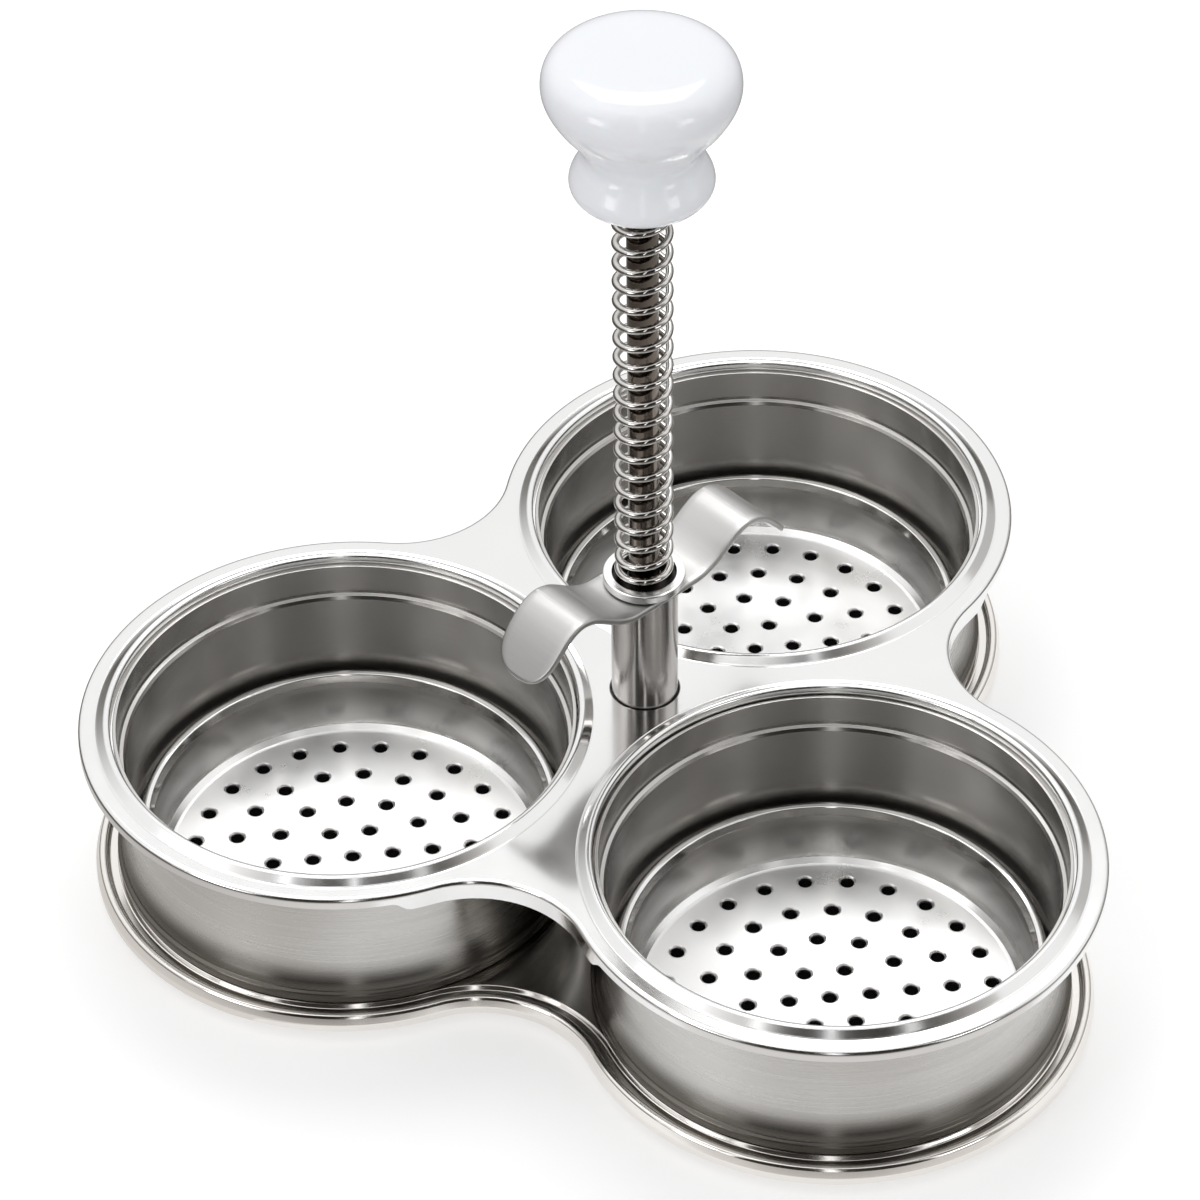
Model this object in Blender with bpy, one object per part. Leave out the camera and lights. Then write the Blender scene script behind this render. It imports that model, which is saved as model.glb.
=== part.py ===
"""Three-cup egg poacher that stands in a pan of simmering water.

Three perforated dishes are rolled into a trefoil tray, and a rod stands in the tray's middle with a
knob on top. A trefoil top plate carries three open rings that stand round the dishes. The plate is
fixed to a tube that slides on the rod: squeezing the finger grip on the tube towards the knob lifts
the plate and the rings off the poached eggs, and the spring under the knob pushes them down again.
Lengths are metres, +Z is up, the dishes stand on Z = 0 and the origin is under the middle of the part.
"""
from math import asin, atan2, cos, pi, radians, sin, sqrt

import bmesh
import bpy
from mathutils import Vector

# Gap that two touching pieces keep, and how far a cutter runs past what it cuts
SEAT_GAP = 0.0003
CUT_OVERRUN = 0.002

# Layout: the cups' places round the rod, and the box's centre as a share of their distance to it
CUP_AZIMUTHS = {"left": radians(180), "front": radians(300), "back": radians(60)}
BOX_CENTRE_SHARE = 0.25

# How finely round things are faceted
CUP_SEGMENTS = 24
SHAFT_SEGMENTS = 20
KNOB_SEGMENTS = 26
HOLE_SIDES = 5
LOBE_STEP = radians(15)
WAIST_POINTS = 3

# Top plate
PLATE_HEIGHT = 0.0365
PLATE_SHEET = 0.0008
PLATE_MARGIN = 0.0034
PLATE_WAIST_RADIUS = 0.020
PLATE_EDGE_RADIUS = 0.0009
PLATE_EDGE_SHARE = 0.3
PLATE_BEND = 0.0005
PLATE_SKIRT = 0.0021
PLATE_WAIST_SKIRT = 0.004
SKIRT_NOTCH_START = radians(98)
SKIRT_NOTCH_END = radians(99.5)
BEAD_WIDTH = 0.0024
BEAD_RISE = 0.0014
BEAD_SPACING = 0.00537
BEAD_SHARES = ((1.0, 0.0), (0.6, 0.45), (0.3, 1.0), (0.05, 0.75))
COLLAR_DEPTH = 0.0016

# Rings that stand round the dishes
RING_SHEET = 0.0007
RING_CLEARANCE = 0.0014
RING_EDGE_DROP = 0.0007
RING_LEDGE_DROP = 0.0064
RING_LEDGE_HEIGHT = 0.0009
RING_LEDGE_WIDTH = 0.0013
RING_FLARE_HEIGHT = 0.0050
RING_FOOT_WIDTH = 0.0030
RING_FOOT_HEIGHT = 0.0023
RING_FLARE_SHARES = ((0.0, 1.0), (0.15, 0.62), (0.45, 0.33))
RING_FOOT_SHARES = ((0.7, 1.0), (0.97, 0.75), (1.0, 0.35), (0.9, 0.0))
RING_INNER_SHARES = ((0.25, 0.0), (0.12, 0.33), (0.0, 1.0))

# Tray
TRAY_SHEET = 0.0008
TRAY_MARGIN = 0.0042
TRAY_FOOT = 0.0028
TRAY_RIM_HEIGHT = 0.0061
TRAY_RIM_WIDTH = 0.0022
TRAY_RIM_SHARES = ((0.0, 0.0), (0.0, 0.8), (0.3, 1.0), (0.8, 0.95))
TRAY_BEND = 0.0004
TRAY_CHANNEL_HEIGHT = 0.0046
TRAY_CHANNEL_WIDTH = 0.0018
TRAY_FLOOR_HEIGHT = 0.0053
TRAY_STEP_WIDTH = 0.0005

# Perforated dishes
DISH_SHEET = 0.0008
DISH_RIM_RADIUS = 0.0385
DISH_RIM_HEIGHT = 0.0128
DISH_RIM_SHARES = ((0.0, 0.6), (0.35, 1.0), (0.85, 0.9), (1.0, 0.4), (0.75, 0.0))
DISH_CURL_HEIGHT = 0.0012
DISH_RIM_WIDTH = 0.0016
DISH_WALL_DRAFT = 0.0002
DISH_FILLET_WIDTH = 0.0037
DISH_FILLET_HEIGHT = 0.0031
DISH_FILLET_SHARES = ((0.45, 0.13), (0.83, 0.5), (1.0, 1.0))
DISH_RIDGE_WIDTH = 0.0012
DISH_RIDGE_HEIGHT = 0.0008
HOLE_RADIUS = 0.00125
HOLE_MARGIN = 0.0034
HOLE_RINGS = 4
HOLES_PER_RING_STEP = 6

# Rod, its nuts and its washer
ROD_RADIUS = 0.00275
ROD_END_PROUD = 0.0002
NUT_ACROSS_FLATS = 0.0080
NUT_SIDES = 6
BASE_NUT_HEIGHT = 0.0022
CLAMP_NUT_HEIGHT = 0.0040
WASHER_RADIUS = 0.0054
WASHER_SHEET = 0.0007

# Tube, its flange and its bushes
TUBE_RADIUS = 0.0060
TUBE_WALL = 0.0008
TUBE_ABOVE_PLATE = 0.0245
TUBE_BELOW_PLATE = 0.0032
FLANGE_RADIUS = 0.0090
FLANGE_HEIGHT = 0.0012
BUSH_LENGTH = 0.0080
BUSH_LIP = 0.0010
SEAT_RADIUS = 0.0074
SEAT_HEIGHT = 0.0016
SEAT_EDGE = 0.0004
SEAT_POCKET_RADIUS = 0.0056
SEAT_POCKET_DEPTH = 0.0008

# Finger grip
GRIP_AZIMUTH = radians(30)
GRIP_SHEET = 0.0012
GRIP_HALF_WIDTH = 0.0065
GRIP_REACH = 0.0292
GRIP_TIP_LENGTH = 0.0055
GRIP_CREST = 0.0054
GRIP_PROFILE_SHARES = ((0.0, 0.0), (0.22, 0.0), (0.30, 0.07), (0.39, 0.30), (0.48, 0.64),
                       (0.56, 0.90), (0.64, 1.0), (0.71, 0.93), (0.78, 0.70), (0.85, 0.32),
                       (0.91, -0.08), (0.96, -0.44), (1.0, -0.74))
GRIP_TIP_WIDTH_SHARE = 0.2

# Spring and the washer over it
SPRING_LENGTH = 0.0819
SPRING_COILS = 21
SPRING_END_PITCH = 0.0018
SPRING_RADIUS = 0.00525
WIRE_RADIUS = 0.00055
POINTS_PER_COIL = 8
CAP_RADIUS = 0.0058
CAP_SHEET = 0.0010

# Knob and its threaded insert
KNOB_RADIUS = 0.0167
KNOB_HEIGHT = 0.0284
KNOB_FOOT_RADIUS = 0.0082
KNOB_PROFILE_SHARES = ((0.60, 0.02), (0.68, 0.05), (0.722, 0.085), (0.734, 0.125), (0.713, 0.175),
                       (0.66, 0.235), (0.605, 0.285), (0.587, 0.33), (0.611, 0.385), (0.72, 0.475),
                       (0.862, 0.585), (0.964, 0.695), (1.0, 0.79), (0.97, 0.885), (0.88, 0.95),
                       (0.73, 0.986), (0.48, 1.0))
INSERT_RADIUS = 0.0040
INSERT_LENGTH = 0.0130
ROD_IN_KNOB = 0.0120

# Smooth shading keeps an edge that is sharper than this angle
SHARP_ANGLE = radians(35)

# Places that follow from the sizes above
HALF_PITCH = pi / len(CUP_AZIMUTHS)
DISH_MOUTH_RADIUS = DISH_RIM_RADIUS - DISH_RIM_WIDTH
DISH_WAIST_RADIUS = DISH_MOUTH_RADIUS - DISH_WALL_DRAFT
DISH_FLOOR_RADIUS = DISH_WAIST_RADIUS - DISH_FILLET_WIDTH
HOLE_RING_PITCH = (DISH_FLOOR_RADIUS - HOLE_MARGIN) / HOLE_RINGS
RING_RADIUS = DISH_RIM_RADIUS + RING_CLEARANCE
RING_NECK_RADIUS = RING_RADIUS + RING_LEDGE_WIDTH
RING_FOOT_RADIUS = RING_RADIUS + RING_FOOT_WIDTH
COLLAR_RADIUS = RING_NECK_RADIUS + RING_SHEET + SEAT_GAP
PLATE_LOBE_RADIUS = COLLAR_RADIUS + BEAD_WIDTH + PLATE_MARGIN
TRAY_LOBE_RADIUS = RING_FOOT_RADIUS + TRAY_MARGIN
TRAY_WAIST_RADIUS = PLATE_WAIST_RADIUS + PLATE_LOBE_RADIUS - TRAY_LOBE_RADIUS
CUP_CENTRE_RADIUS = (COLLAR_RADIUS + BEAD_WIDTH + BEAD_SPACING / 2) / sin(HALF_PITCH)
BORE_RADIUS = ROD_RADIUS + SEAT_GAP
SLEEVE_RADIUS = TUBE_RADIUS - TUBE_WALL - SEAT_GAP
PLATE_UNDERSIDE = PLATE_HEIGHT - PLATE_SHEET
TUBE_BOTTOM = PLATE_HEIGHT - TUBE_BELOW_PLATE
TUBE_TOP = PLATE_HEIGHT + TUBE_ABOVE_PLATE
GRIP_UNDERSIDE = TUBE_TOP + SEAT_GAP
GRIP_TOP = GRIP_UNDERSIDE + GRIP_SHEET
SEAT_UNDERSIDE = GRIP_TOP + SEAT_GAP
SEAT_TOP = SEAT_UNDERSIDE + SEAT_HEIGHT
SPRING_BOTTOM = SEAT_TOP - SEAT_POCKET_DEPTH + SEAT_GAP
CAP_UNDERSIDE = SPRING_BOTTOM + SPRING_LENGTH + SEAT_GAP
KNOB_UNDERSIDE = CAP_UNDERSIDE + CAP_SHEET + SEAT_GAP
TRAY_UNDERSIDE = TRAY_FLOOR_HEIGHT - TRAY_SHEET
WASHER_TOP = TRAY_UNDERSIDE - SEAT_GAP
BASE_NUT_TOP = WASHER_TOP - WASHER_SHEET - SEAT_GAP


def clear_scene():
    for item in list(bpy.data.objects):
        bpy.data.objects.remove(item, do_unlink=True)


def make_material(name, color, roughness, metallic):
    made = bpy.data.materials.new(name)
    made.use_nodes = True
    shader = made.node_tree.nodes["Principled BSDF"]
    shader.inputs["Base Color"].default_value = (*color, 1.0)
    shader.inputs["Roughness"].default_value = roughness
    shader.inputs["Metallic"].default_value = metallic
    return made


def make_frame(name):
    """Empty on the rod's axis that one body's pieces hang from."""
    empty = bpy.data.objects.new(name, None)
    empty.location = (CUP_CENTRE_RADIUS * BOX_CENTRE_SHARE, 0, 0)
    bpy.context.collection.objects.link(empty)
    return empty


def place(name, data, frame, finish, offset=(0, 0, 0)):
    data.materials.clear()
    data.materials.append(finish)
    item = bpy.data.objects.new(name, data)
    item.parent = frame
    item.location = offset
    bpy.context.collection.objects.link(item)
    return item


def finish_mesh(name, bm):
    """Turn a closed bmesh into a smooth-shaded mesh whose faces point outwards."""
    bmesh.ops.recalc_face_normals(bm, faces=bm.faces)
    mesh = bpy.data.meshes.new(name)
    bm.to_mesh(mesh)
    bm.free()
    mesh.shade_smooth()
    mesh.set_sharp_from_angle(angle=SHARP_ANGLE)
    return mesh


# Building blocks: closed loops of points, walls between loops, and flat faces with holes
def circle_points(radius, height, count, centre=(0, 0)):
    angles = [2 * pi * i / count for i in range(count)]
    return [(centre[0] + radius * cos(a), centre[1] + radius * sin(a), height) for a in angles]


def add_loop(bm, points):
    return [bm.verts.new(point) for point in points]


def bridge(bm, first, second):
    """Wall of four-sided faces between two loops with the same number of points."""
    for i in range(len(first)):
        j = (i + 1) % len(first)
        bm.faces.new((first[i], first[j], second[j], second[i]))


def bridge_chain(bm, loops, closed=False):
    for first, second in zip(loops, loops[1:]):
        bridge(bm, first, second)
    if closed:
        bridge(bm, loops[-1], loops[0])


def fill(bm, loops):
    """Flat face inside the first loop, open inside the others."""
    edges = []
    for loop in loops:
        for i in range(len(loop)):
            pair = (loop[i], loop[(i + 1) % len(loop)])
            edges.append(bm.edges.get(pair) or bm.edges.new(pair))
    bmesh.ops.triangle_fill(bm, use_beauty=True, use_dissolve=False, edges=edges)


def chain_of_circles(bm, profile, count, centre=(0, 0)):
    return [add_loop(bm, circle_points(radius, height, count, centre)) for radius, height in profile]


def turned_mesh(name, profile, count):
    """Hollow turned piece whose wall has this closed profile of radius and height."""
    bm = bmesh.new()
    bridge_chain(bm, chain_of_circles(bm, profile, count), closed=True)
    return finish_mesh(name, bm)


def along(start, end, share):
    return start + (end - start) * share


# Trefoil outline that the plate and the tray share
def cup_centre(azimuth):
    return Vector((cos(azimuth), sin(azimuth), 0)) * CUP_CENTRE_RADIUS


def trefoil_points(lobe_radius, waist_radius, inset, height, waist_height=None):
    """Three lobes joined by hollow waists, which may lie at a height of their own."""
    across = CUP_CENTRE_RADIUS * sin(HALF_PITCH)
    reach = CUP_CENTRE_RADIUS * cos(HALF_PITCH) + sqrt((lobe_radius + waist_radius) ** 2 - across ** 2)
    tangent = atan2(reach * sin(HALF_PITCH), reach * cos(HALF_PITCH) - CUP_CENTRE_RADIUS)
    waist_sweep = asin(across / (lobe_radius + waist_radius))
    steps = int(SKIRT_NOTCH_START / LOBE_STEP)
    half = [i * LOBE_STEP for i in range(steps + 1)] + [SKIRT_NOTCH_START, SKIRT_NOTCH_END, tangent]
    low = height if waist_height is None else waist_height
    points = []
    for azimuth in sorted(CUP_AZIMUTHS.values()):
        centre = cup_centre(azimuth)
        for angle in [-a for a in reversed(half[1:])] + half:
            z = low if abs(angle) > SKIRT_NOTCH_START else height
            points.append((centre.x + (lobe_radius - inset) * cos(azimuth + angle),
                           centre.y + (lobe_radius - inset) * sin(azimuth + angle), z))
        bisector = azimuth + HALF_PITCH
        for i in range(1, WAIST_POINTS + 1):
            angle = bisector + pi + waist_sweep * (1 - 2 * i / (WAIST_POINTS + 1))
            points.append((reach * cos(bisector) + (waist_radius + inset) * cos(angle),
                           reach * sin(bisector) + (waist_radius + inset) * sin(angle), low))
    return points


def plate_loop(bm, inset, drop, waist_drop=None):
    low = None if waist_drop is None else PLATE_HEIGHT - waist_drop
    return add_loop(bm, trefoil_points(PLATE_LOBE_RADIUS, PLATE_WAIST_RADIUS, inset,
                                       PLATE_HEIGHT - drop, low))


def plate_mesh():
    """Pressed plate: rounded edge, turned-down skirt, raised bead and collar round each opening."""
    bm = bmesh.new()
    inner_bend = PLATE_SHEET + PLATE_BEND
    rim = [plate_loop(bm, PLATE_EDGE_RADIUS, 0),
           plate_loop(bm, PLATE_EDGE_RADIUS * PLATE_EDGE_SHARE, PLATE_EDGE_RADIUS * PLATE_EDGE_SHARE),
           plate_loop(bm, 0, PLATE_EDGE_RADIUS),
           plate_loop(bm, 0, PLATE_SKIRT, PLATE_WAIST_SKIRT),
           plate_loop(bm, PLATE_SHEET, PLATE_SKIRT, PLATE_WAIST_SKIRT),
           plate_loop(bm, PLATE_SHEET, inner_bend),
           plate_loop(bm, inner_bend, PLATE_SHEET)]
    bridge_chain(bm, rim)
    bead = [(COLLAR_RADIUS + BEAD_WIDTH * width, PLATE_HEIGHT + BEAD_RISE * rise)
            for width, rise in BEAD_SHARES]
    bead += [(COLLAR_RADIUS, PLATE_HEIGHT), (COLLAR_RADIUS, PLATE_HEIGHT - COLLAR_DEPTH),
             (COLLAR_RADIUS + PLATE_SHEET, PLATE_HEIGHT - COLLAR_DEPTH),
             (COLLAR_RADIUS + PLATE_SHEET, PLATE_UNDERSIDE)]
    openings = [chain_of_circles(bm, bead, CUP_SEGMENTS, cup_centre(a)) for a in CUP_AZIMUTHS.values()]
    hole = [(TUBE_RADIUS + SEAT_GAP, PLATE_HEIGHT), (TUBE_RADIUS + SEAT_GAP, PLATE_UNDERSIDE)]
    openings.append(chain_of_circles(bm, hole, SHAFT_SEGMENTS))
    for chain in openings:
        bridge_chain(bm, chain)
    fill(bm, [rim[0]] + [chain[0] for chain in openings])
    fill(bm, [rim[-1]] + [chain[-1] for chain in openings])
    return finish_mesh("top_plate", bm)


def ring_mesh():
    """Open ring: neck that fits the plate's collar, ledge, straight wall, flared foot with a bead."""
    top = PLATE_HEIGHT - RING_EDGE_DROP
    ledge = PLATE_HEIGHT - RING_LEDGE_DROP
    wall = RING_RADIUS + RING_SHEET
    foot = TRAY_FLOOR_HEIGHT + SEAT_GAP
    bead_top = foot + RING_FOOT_HEIGHT
    flare = [(along(wall, RING_FOOT_RADIUS, out), along(bead_top, bead_top + RING_FLARE_HEIGHT, up))
             for out, up in RING_FLARE_SHARES]
    base = [(along(wall, RING_FOOT_RADIUS, out), along(foot, bead_top, up))
            for out, up in RING_FOOT_SHARES]
    inside = [(along(RING_RADIUS, RING_FOOT_RADIUS, out), along(foot, bead_top + RING_FLARE_HEIGHT, up))
              for out, up in RING_INNER_SHARES]
    profile = [(RING_NECK_RADIUS, top), (RING_NECK_RADIUS + RING_SHEET, top),
               (RING_NECK_RADIUS + RING_SHEET, ledge - RING_SHEET),
               (wall, ledge - RING_SHEET - RING_LEDGE_HEIGHT)]
    profile += flare + base + inside
    profile += [(RING_RADIUS, ledge - RING_LEDGE_HEIGHT), (RING_NECK_RADIUS, ledge)]
    return turned_mesh("ring", profile, CUP_SEGMENTS)


def tray_loop(bm, inset, height):
    return add_loop(bm, trefoil_points(TRAY_LOBE_RADIUS, TRAY_WAIST_RADIUS, inset, height))


def tray_mesh():
    """Pressed tray: rounded rim, channel inside it and a raised floor with the dishes' openings."""
    bm = bmesh.new()
    channel_outer = TRAY_RIM_WIDTH + TRAY_BEND
    channel_inner = channel_outer + TRAY_CHANNEL_WIDTH
    floor_edge = channel_inner + TRAY_STEP_WIDTH
    channel_underside = TRAY_CHANNEL_HEIGHT - TRAY_SHEET
    rim = [tray_loop(bm, TRAY_RIM_WIDTH * width, along(TRAY_FOOT, TRAY_RIM_HEIGHT, up))
           for width, up in TRAY_RIM_SHARES]
    rim += [tray_loop(bm, TRAY_RIM_WIDTH, TRAY_CHANNEL_HEIGHT + TRAY_BEND),
            tray_loop(bm, channel_outer, TRAY_CHANNEL_HEIGHT),
            tray_loop(bm, channel_inner, TRAY_CHANNEL_HEIGHT),
            tray_loop(bm, floor_edge, TRAY_FLOOR_HEIGHT)]
    under = [tray_loop(bm, floor_edge, TRAY_UNDERSIDE),
             tray_loop(bm, channel_inner, channel_underside),
             tray_loop(bm, TRAY_SHEET + TRAY_BEND, channel_underside),
             tray_loop(bm, TRAY_SHEET, TRAY_FOOT)]
    bridge_chain(bm, rim)
    bridge_chain(bm, under)
    bridge(bm, under[-1], rim[0])
    opening = DISH_WAIST_RADIUS + SEAT_GAP
    openings = [chain_of_circles(bm, [(opening, TRAY_FLOOR_HEIGHT), (opening, TRAY_UNDERSIDE)],
                                 CUP_SEGMENTS, cup_centre(a)) for a in CUP_AZIMUTHS.values()]
    openings.append(chain_of_circles(bm, [(BORE_RADIUS, TRAY_FLOOR_HEIGHT),
                                          (BORE_RADIUS, TRAY_UNDERSIDE)], SHAFT_SEGMENTS))
    for chain in openings:
        bridge_chain(bm, chain)
    fill(bm, [rim[-1]] + [chain[0] for chain in openings])
    fill(bm, [under[0]] + [chain[-1] for chain in openings])
    return finish_mesh("tray", bm)


def hole_centres():
    """One hole in the middle of a dish, then rings of 6, 12, 18 and so on, each a pitch further out."""
    centres = [(0, 0)]
    for ring in range(1, HOLE_RINGS + 1):
        count = HOLES_PER_RING_STEP * ring
        centres += [point[:2] for point in circle_points(HOLE_RING_PITCH * ring, 0, count)]
    return centres


def dish_profile():
    """Wall of a dish from the floor's top edge, up inside, over the rim and down outside."""
    fillet = [(along(DISH_FLOOR_RADIUS, DISH_WAIST_RADIUS - DISH_SHEET, out),
               along(DISH_SHEET, DISH_SHEET + DISH_FILLET_HEIGHT, up)) for out, up in DISH_FILLET_SHARES]
    inner_mouth = DISH_MOUTH_RADIUS - DISH_SHEET
    curl_bottom = DISH_RIM_HEIGHT - DISH_CURL_HEIGHT
    rim = [(along(inner_mouth, DISH_RIM_RADIUS, out), along(curl_bottom, DISH_RIM_HEIGHT, up))
           for out, up in DISH_RIM_SHARES]
    upper = TRAY_FLOOR_HEIGHT + SEAT_GAP
    lower = TRAY_UNDERSIDE - SEAT_GAP
    ridge = DISH_WAIST_RADIUS + DISH_RIDGE_WIDTH
    root = DISH_WAIST_RADIUS
    grooves = [(root, upper + 2 * DISH_RIDGE_HEIGHT), (ridge, upper + DISH_RIDGE_HEIGHT),
               (ridge, upper), (root, upper), (root, lower), (ridge, lower),
               (root, lower - 2 * DISH_RIDGE_HEIGHT)]
    bottom = [(DISH_FLOOR_RADIUS, 0)]
    return [(DISH_FLOOR_RADIUS, DISH_SHEET)] + fillet + rim + grooves + bottom


def dish_mesh():
    """Pressed dish: perforated flat floor, small fillet, rolled rim and two ridges that grip the tray."""
    bm = bmesh.new()
    wall = chain_of_circles(bm, dish_profile(), CUP_SEGMENTS)
    bridge_chain(bm, wall)
    holes = [chain_of_circles(bm, [(HOLE_RADIUS, DISH_SHEET), (HOLE_RADIUS, 0)], HOLE_SIDES, centre)
             for centre in hole_centres()]
    for chain in holes:
        bridge_chain(bm, chain)
    fill(bm, [wall[0]] + [chain[0] for chain in holes])
    fill(bm, [wall[-1]] + [chain[-1] for chain in holes])
    return finish_mesh("dish", bm)


def rod_mesh():
    """Round rod from under the base nut up into the knob's insert."""
    bm = bmesh.new()
    bottom = BASE_NUT_TOP - BASE_NUT_HEIGHT - ROD_END_PROUD
    ends = chain_of_circles(bm, [(ROD_RADIUS, bottom), (ROD_RADIUS, KNOB_UNDERSIDE + ROD_IN_KNOB)],
                            SHAFT_SEGMENTS)
    bridge_chain(bm, ends)
    for end in ends:
        bm.faces.new(end)
    return finish_mesh("rod", bm)


def nut_mesh(name, bottom, height):
    """Hexagon nut with a plain bore for the rod."""
    bm = bmesh.new()
    corner = NUT_ACROSS_FLATS / (2 * cos(pi / NUT_SIDES))
    sides = chain_of_circles(bm, [(corner, bottom), (corner, bottom + height)], NUT_SIDES)
    bore = chain_of_circles(bm, [(BORE_RADIUS, bottom), (BORE_RADIUS, bottom + height)], SHAFT_SEGMENTS)
    bridge_chain(bm, sides)
    bridge_chain(bm, bore)
    for outer, inner in zip(sides, bore):
        fill(bm, [outer, inner])
    return finish_mesh(name, bm)


def washer_mesh(name, inner, outer, bottom, height):
    profile = [(inner, bottom), (outer, bottom), (outer, bottom + height), (inner, bottom + height)]
    return turned_mesh(name, profile, SHAFT_SEGMENTS)


def lower_bush_mesh():
    """Flanged bush pushed up into the tube's lower end."""
    lip_bottom = TUBE_BOTTOM - SEAT_GAP - BUSH_LIP
    top = TUBE_BOTTOM + BUSH_LENGTH
    profile = [(BORE_RADIUS, lip_bottom), (TUBE_RADIUS, lip_bottom),
               (TUBE_RADIUS, lip_bottom + BUSH_LIP), (SLEEVE_RADIUS, lip_bottom + BUSH_LIP),
               (SLEEVE_RADIUS, top), (BORE_RADIUS, top)]
    return turned_mesh("lower_bush", profile, SHAFT_SEGMENTS)


def spring_seat_mesh():
    """Flanged bush through the grip into the tube's top, with a pocket for the spring's last coil."""
    bottom = SEAT_UNDERSIDE - BUSH_LENGTH
    pocket = SEAT_TOP - SEAT_POCKET_DEPTH
    profile = [(BORE_RADIUS, bottom), (SLEEVE_RADIUS, bottom), (SLEEVE_RADIUS, SEAT_UNDERSIDE),
               (SEAT_RADIUS, SEAT_UNDERSIDE), (SEAT_RADIUS, SEAT_TOP - SEAT_EDGE),
               (SEAT_RADIUS - SEAT_EDGE, SEAT_TOP), (SEAT_POCKET_RADIUS, SEAT_TOP),
               (SEAT_POCKET_RADIUS, pocket), (BORE_RADIUS, pocket)]
    return turned_mesh("spring_seat", profile, SHAFT_SEGMENTS)


def grip_half_width(reach):
    """Half width of the grip's strip, which rounds off over the tip."""
    past = (reach - (GRIP_REACH - GRIP_TIP_LENGTH)) / GRIP_TIP_LENGTH
    if past <= 0:
        return GRIP_HALF_WIDTH
    return GRIP_HALF_WIDTH * sqrt(1 - past ** 2 * (1 - GRIP_TIP_WIDTH_SHARE ** 2))


def grip_mesh():
    """Bent strip whose two wings rise from the tube, crest and curl down at their round tips."""
    line = Vector((cos(GRIP_AZIMUTH), sin(GRIP_AZIMUTH), 0))
    side = Vector((-line.y, line.x, 0))
    wing = [(GRIP_REACH * out, GRIP_TOP + GRIP_CREST * up) for out, up in GRIP_PROFILE_SHARES]
    stations = [(-reach, height) for reach, height in reversed(wing[1:])] + wing
    bm = bmesh.new()
    loops = []
    for i, (reach, height) in enumerate(stations):
        before = stations[max(i - 1, 0)]
        after = stations[min(i + 1, len(stations) - 1)]
        slope = Vector((after[0] - before[0], after[1] - before[1])).normalized()
        top = line * reach + Vector((0, 0, height))
        sheet = line * slope.y - Vector((0, 0, slope.x))
        half = side * grip_half_width(abs(reach))
        low = top + sheet * GRIP_SHEET
        loops.append(add_loop(bm, [top - half, top + half, low + half, low - half]))
    bridge_chain(bm, loops)
    for end in (loops[0], loops[-1]):
        bm.faces.new(end)
    return finish_mesh("finger_grip", bm)


def cut_grip_hole(grip, frame):
    """Hole in the middle of the grip for the spring seat's sleeve."""
    bm = bmesh.new()
    low = GRIP_UNDERSIDE - CUT_OVERRUN
    high = GRIP_TOP + CUT_OVERRUN
    radius = SLEEVE_RADIUS + SEAT_GAP
    ends = chain_of_circles(bm, [(radius, low), (radius, high)], SHAFT_SEGMENTS)
    bridge_chain(bm, ends)
    for end in ends:
        bm.faces.new(end)
    cutter = bpy.data.objects.new("grip_hole_cutter", finish_mesh("grip_hole_cutter", bm))
    cutter.parent = frame
    cutter.hide_render = True
    cutter.display_type = "WIRE"
    bpy.context.collection.objects.link(cutter)
    cut = grip.modifiers.new("seat_hole", "BOOLEAN")
    cut.operation = "DIFFERENCE"
    cut.object = cutter


def spring_points():
    """Helix with a close coil at each end, whose ends turn straight down and up to their seats."""
    coil_radius = SPRING_RADIUS - WIRE_RADIUS
    straight = 2 * WIRE_RADIUS
    open_coils = SPRING_COILS - 2
    pitch = (SPRING_LENGTH - 2 * straight - 2 * SPRING_END_PITCH) / open_coils
    points = [Vector((coil_radius, 0, SPRING_BOTTOM))]
    for i in range(SPRING_COILS * POINTS_PER_COIL + 1):
        turn = i / POINTS_PER_COIL
        opened = min(max(turn - 1, 0), open_coils)
        height = SPRING_BOTTOM + straight + pitch * opened + SPRING_END_PITCH * (turn - opened)
        points.append(Vector((coil_radius * cos(2 * pi * turn), coil_radius * sin(2 * pi * turn), height)))
    points.append(points[-1] + Vector((0, 0, straight)))
    return points


def least_gap(points):
    """Smallest clear distance between stretches of wire more than half a coil apart."""
    apart = POINTS_PER_COIL // 2 + 1
    distances = [(points[j] - points[i]).length for i in range(len(points))
                 for j in range(i + apart, len(points))]
    return min(distances) - 2 * WIRE_RADIUS


def spring_curve():
    points = spring_points()
    curve = bpy.data.curves.new("spring", "CURVE")
    curve.dimensions = "3D"
    curve.bevel_depth = WIRE_RADIUS
    curve.bevel_resolution = 1
    curve.use_fill_caps = True
    spline = curve.splines.new("POLY")
    spline.points.add(len(points) - 1)
    for target, point in zip(spline.points, points):
        target.co = (*point, 1)
    print("spring's least gap to itself: %.5f m" % least_gap(points))
    return curve


def knob_mesh():
    """Mushroom knob with a lower bulge, a waist, a broad head and a blind bore for its insert."""
    bore = INSERT_RADIUS + SEAT_GAP
    bore_top = KNOB_UNDERSIDE + INSERT_LENGTH + SEAT_GAP
    profile = [(bore, bore_top), (bore, KNOB_UNDERSIDE), (KNOB_FOOT_RADIUS, KNOB_UNDERSIDE)]
    profile += [(KNOB_RADIUS * out, KNOB_UNDERSIDE + KNOB_HEIGHT * up) for out, up in KNOB_PROFILE_SHARES]
    bm = bmesh.new()
    loops = chain_of_circles(bm, profile, KNOB_SEGMENTS)
    bridge_chain(bm, loops)
    for end in (loops[0], loops[-1]):
        bm.faces.new(end)
    return finish_mesh("knob", bm)


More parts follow.
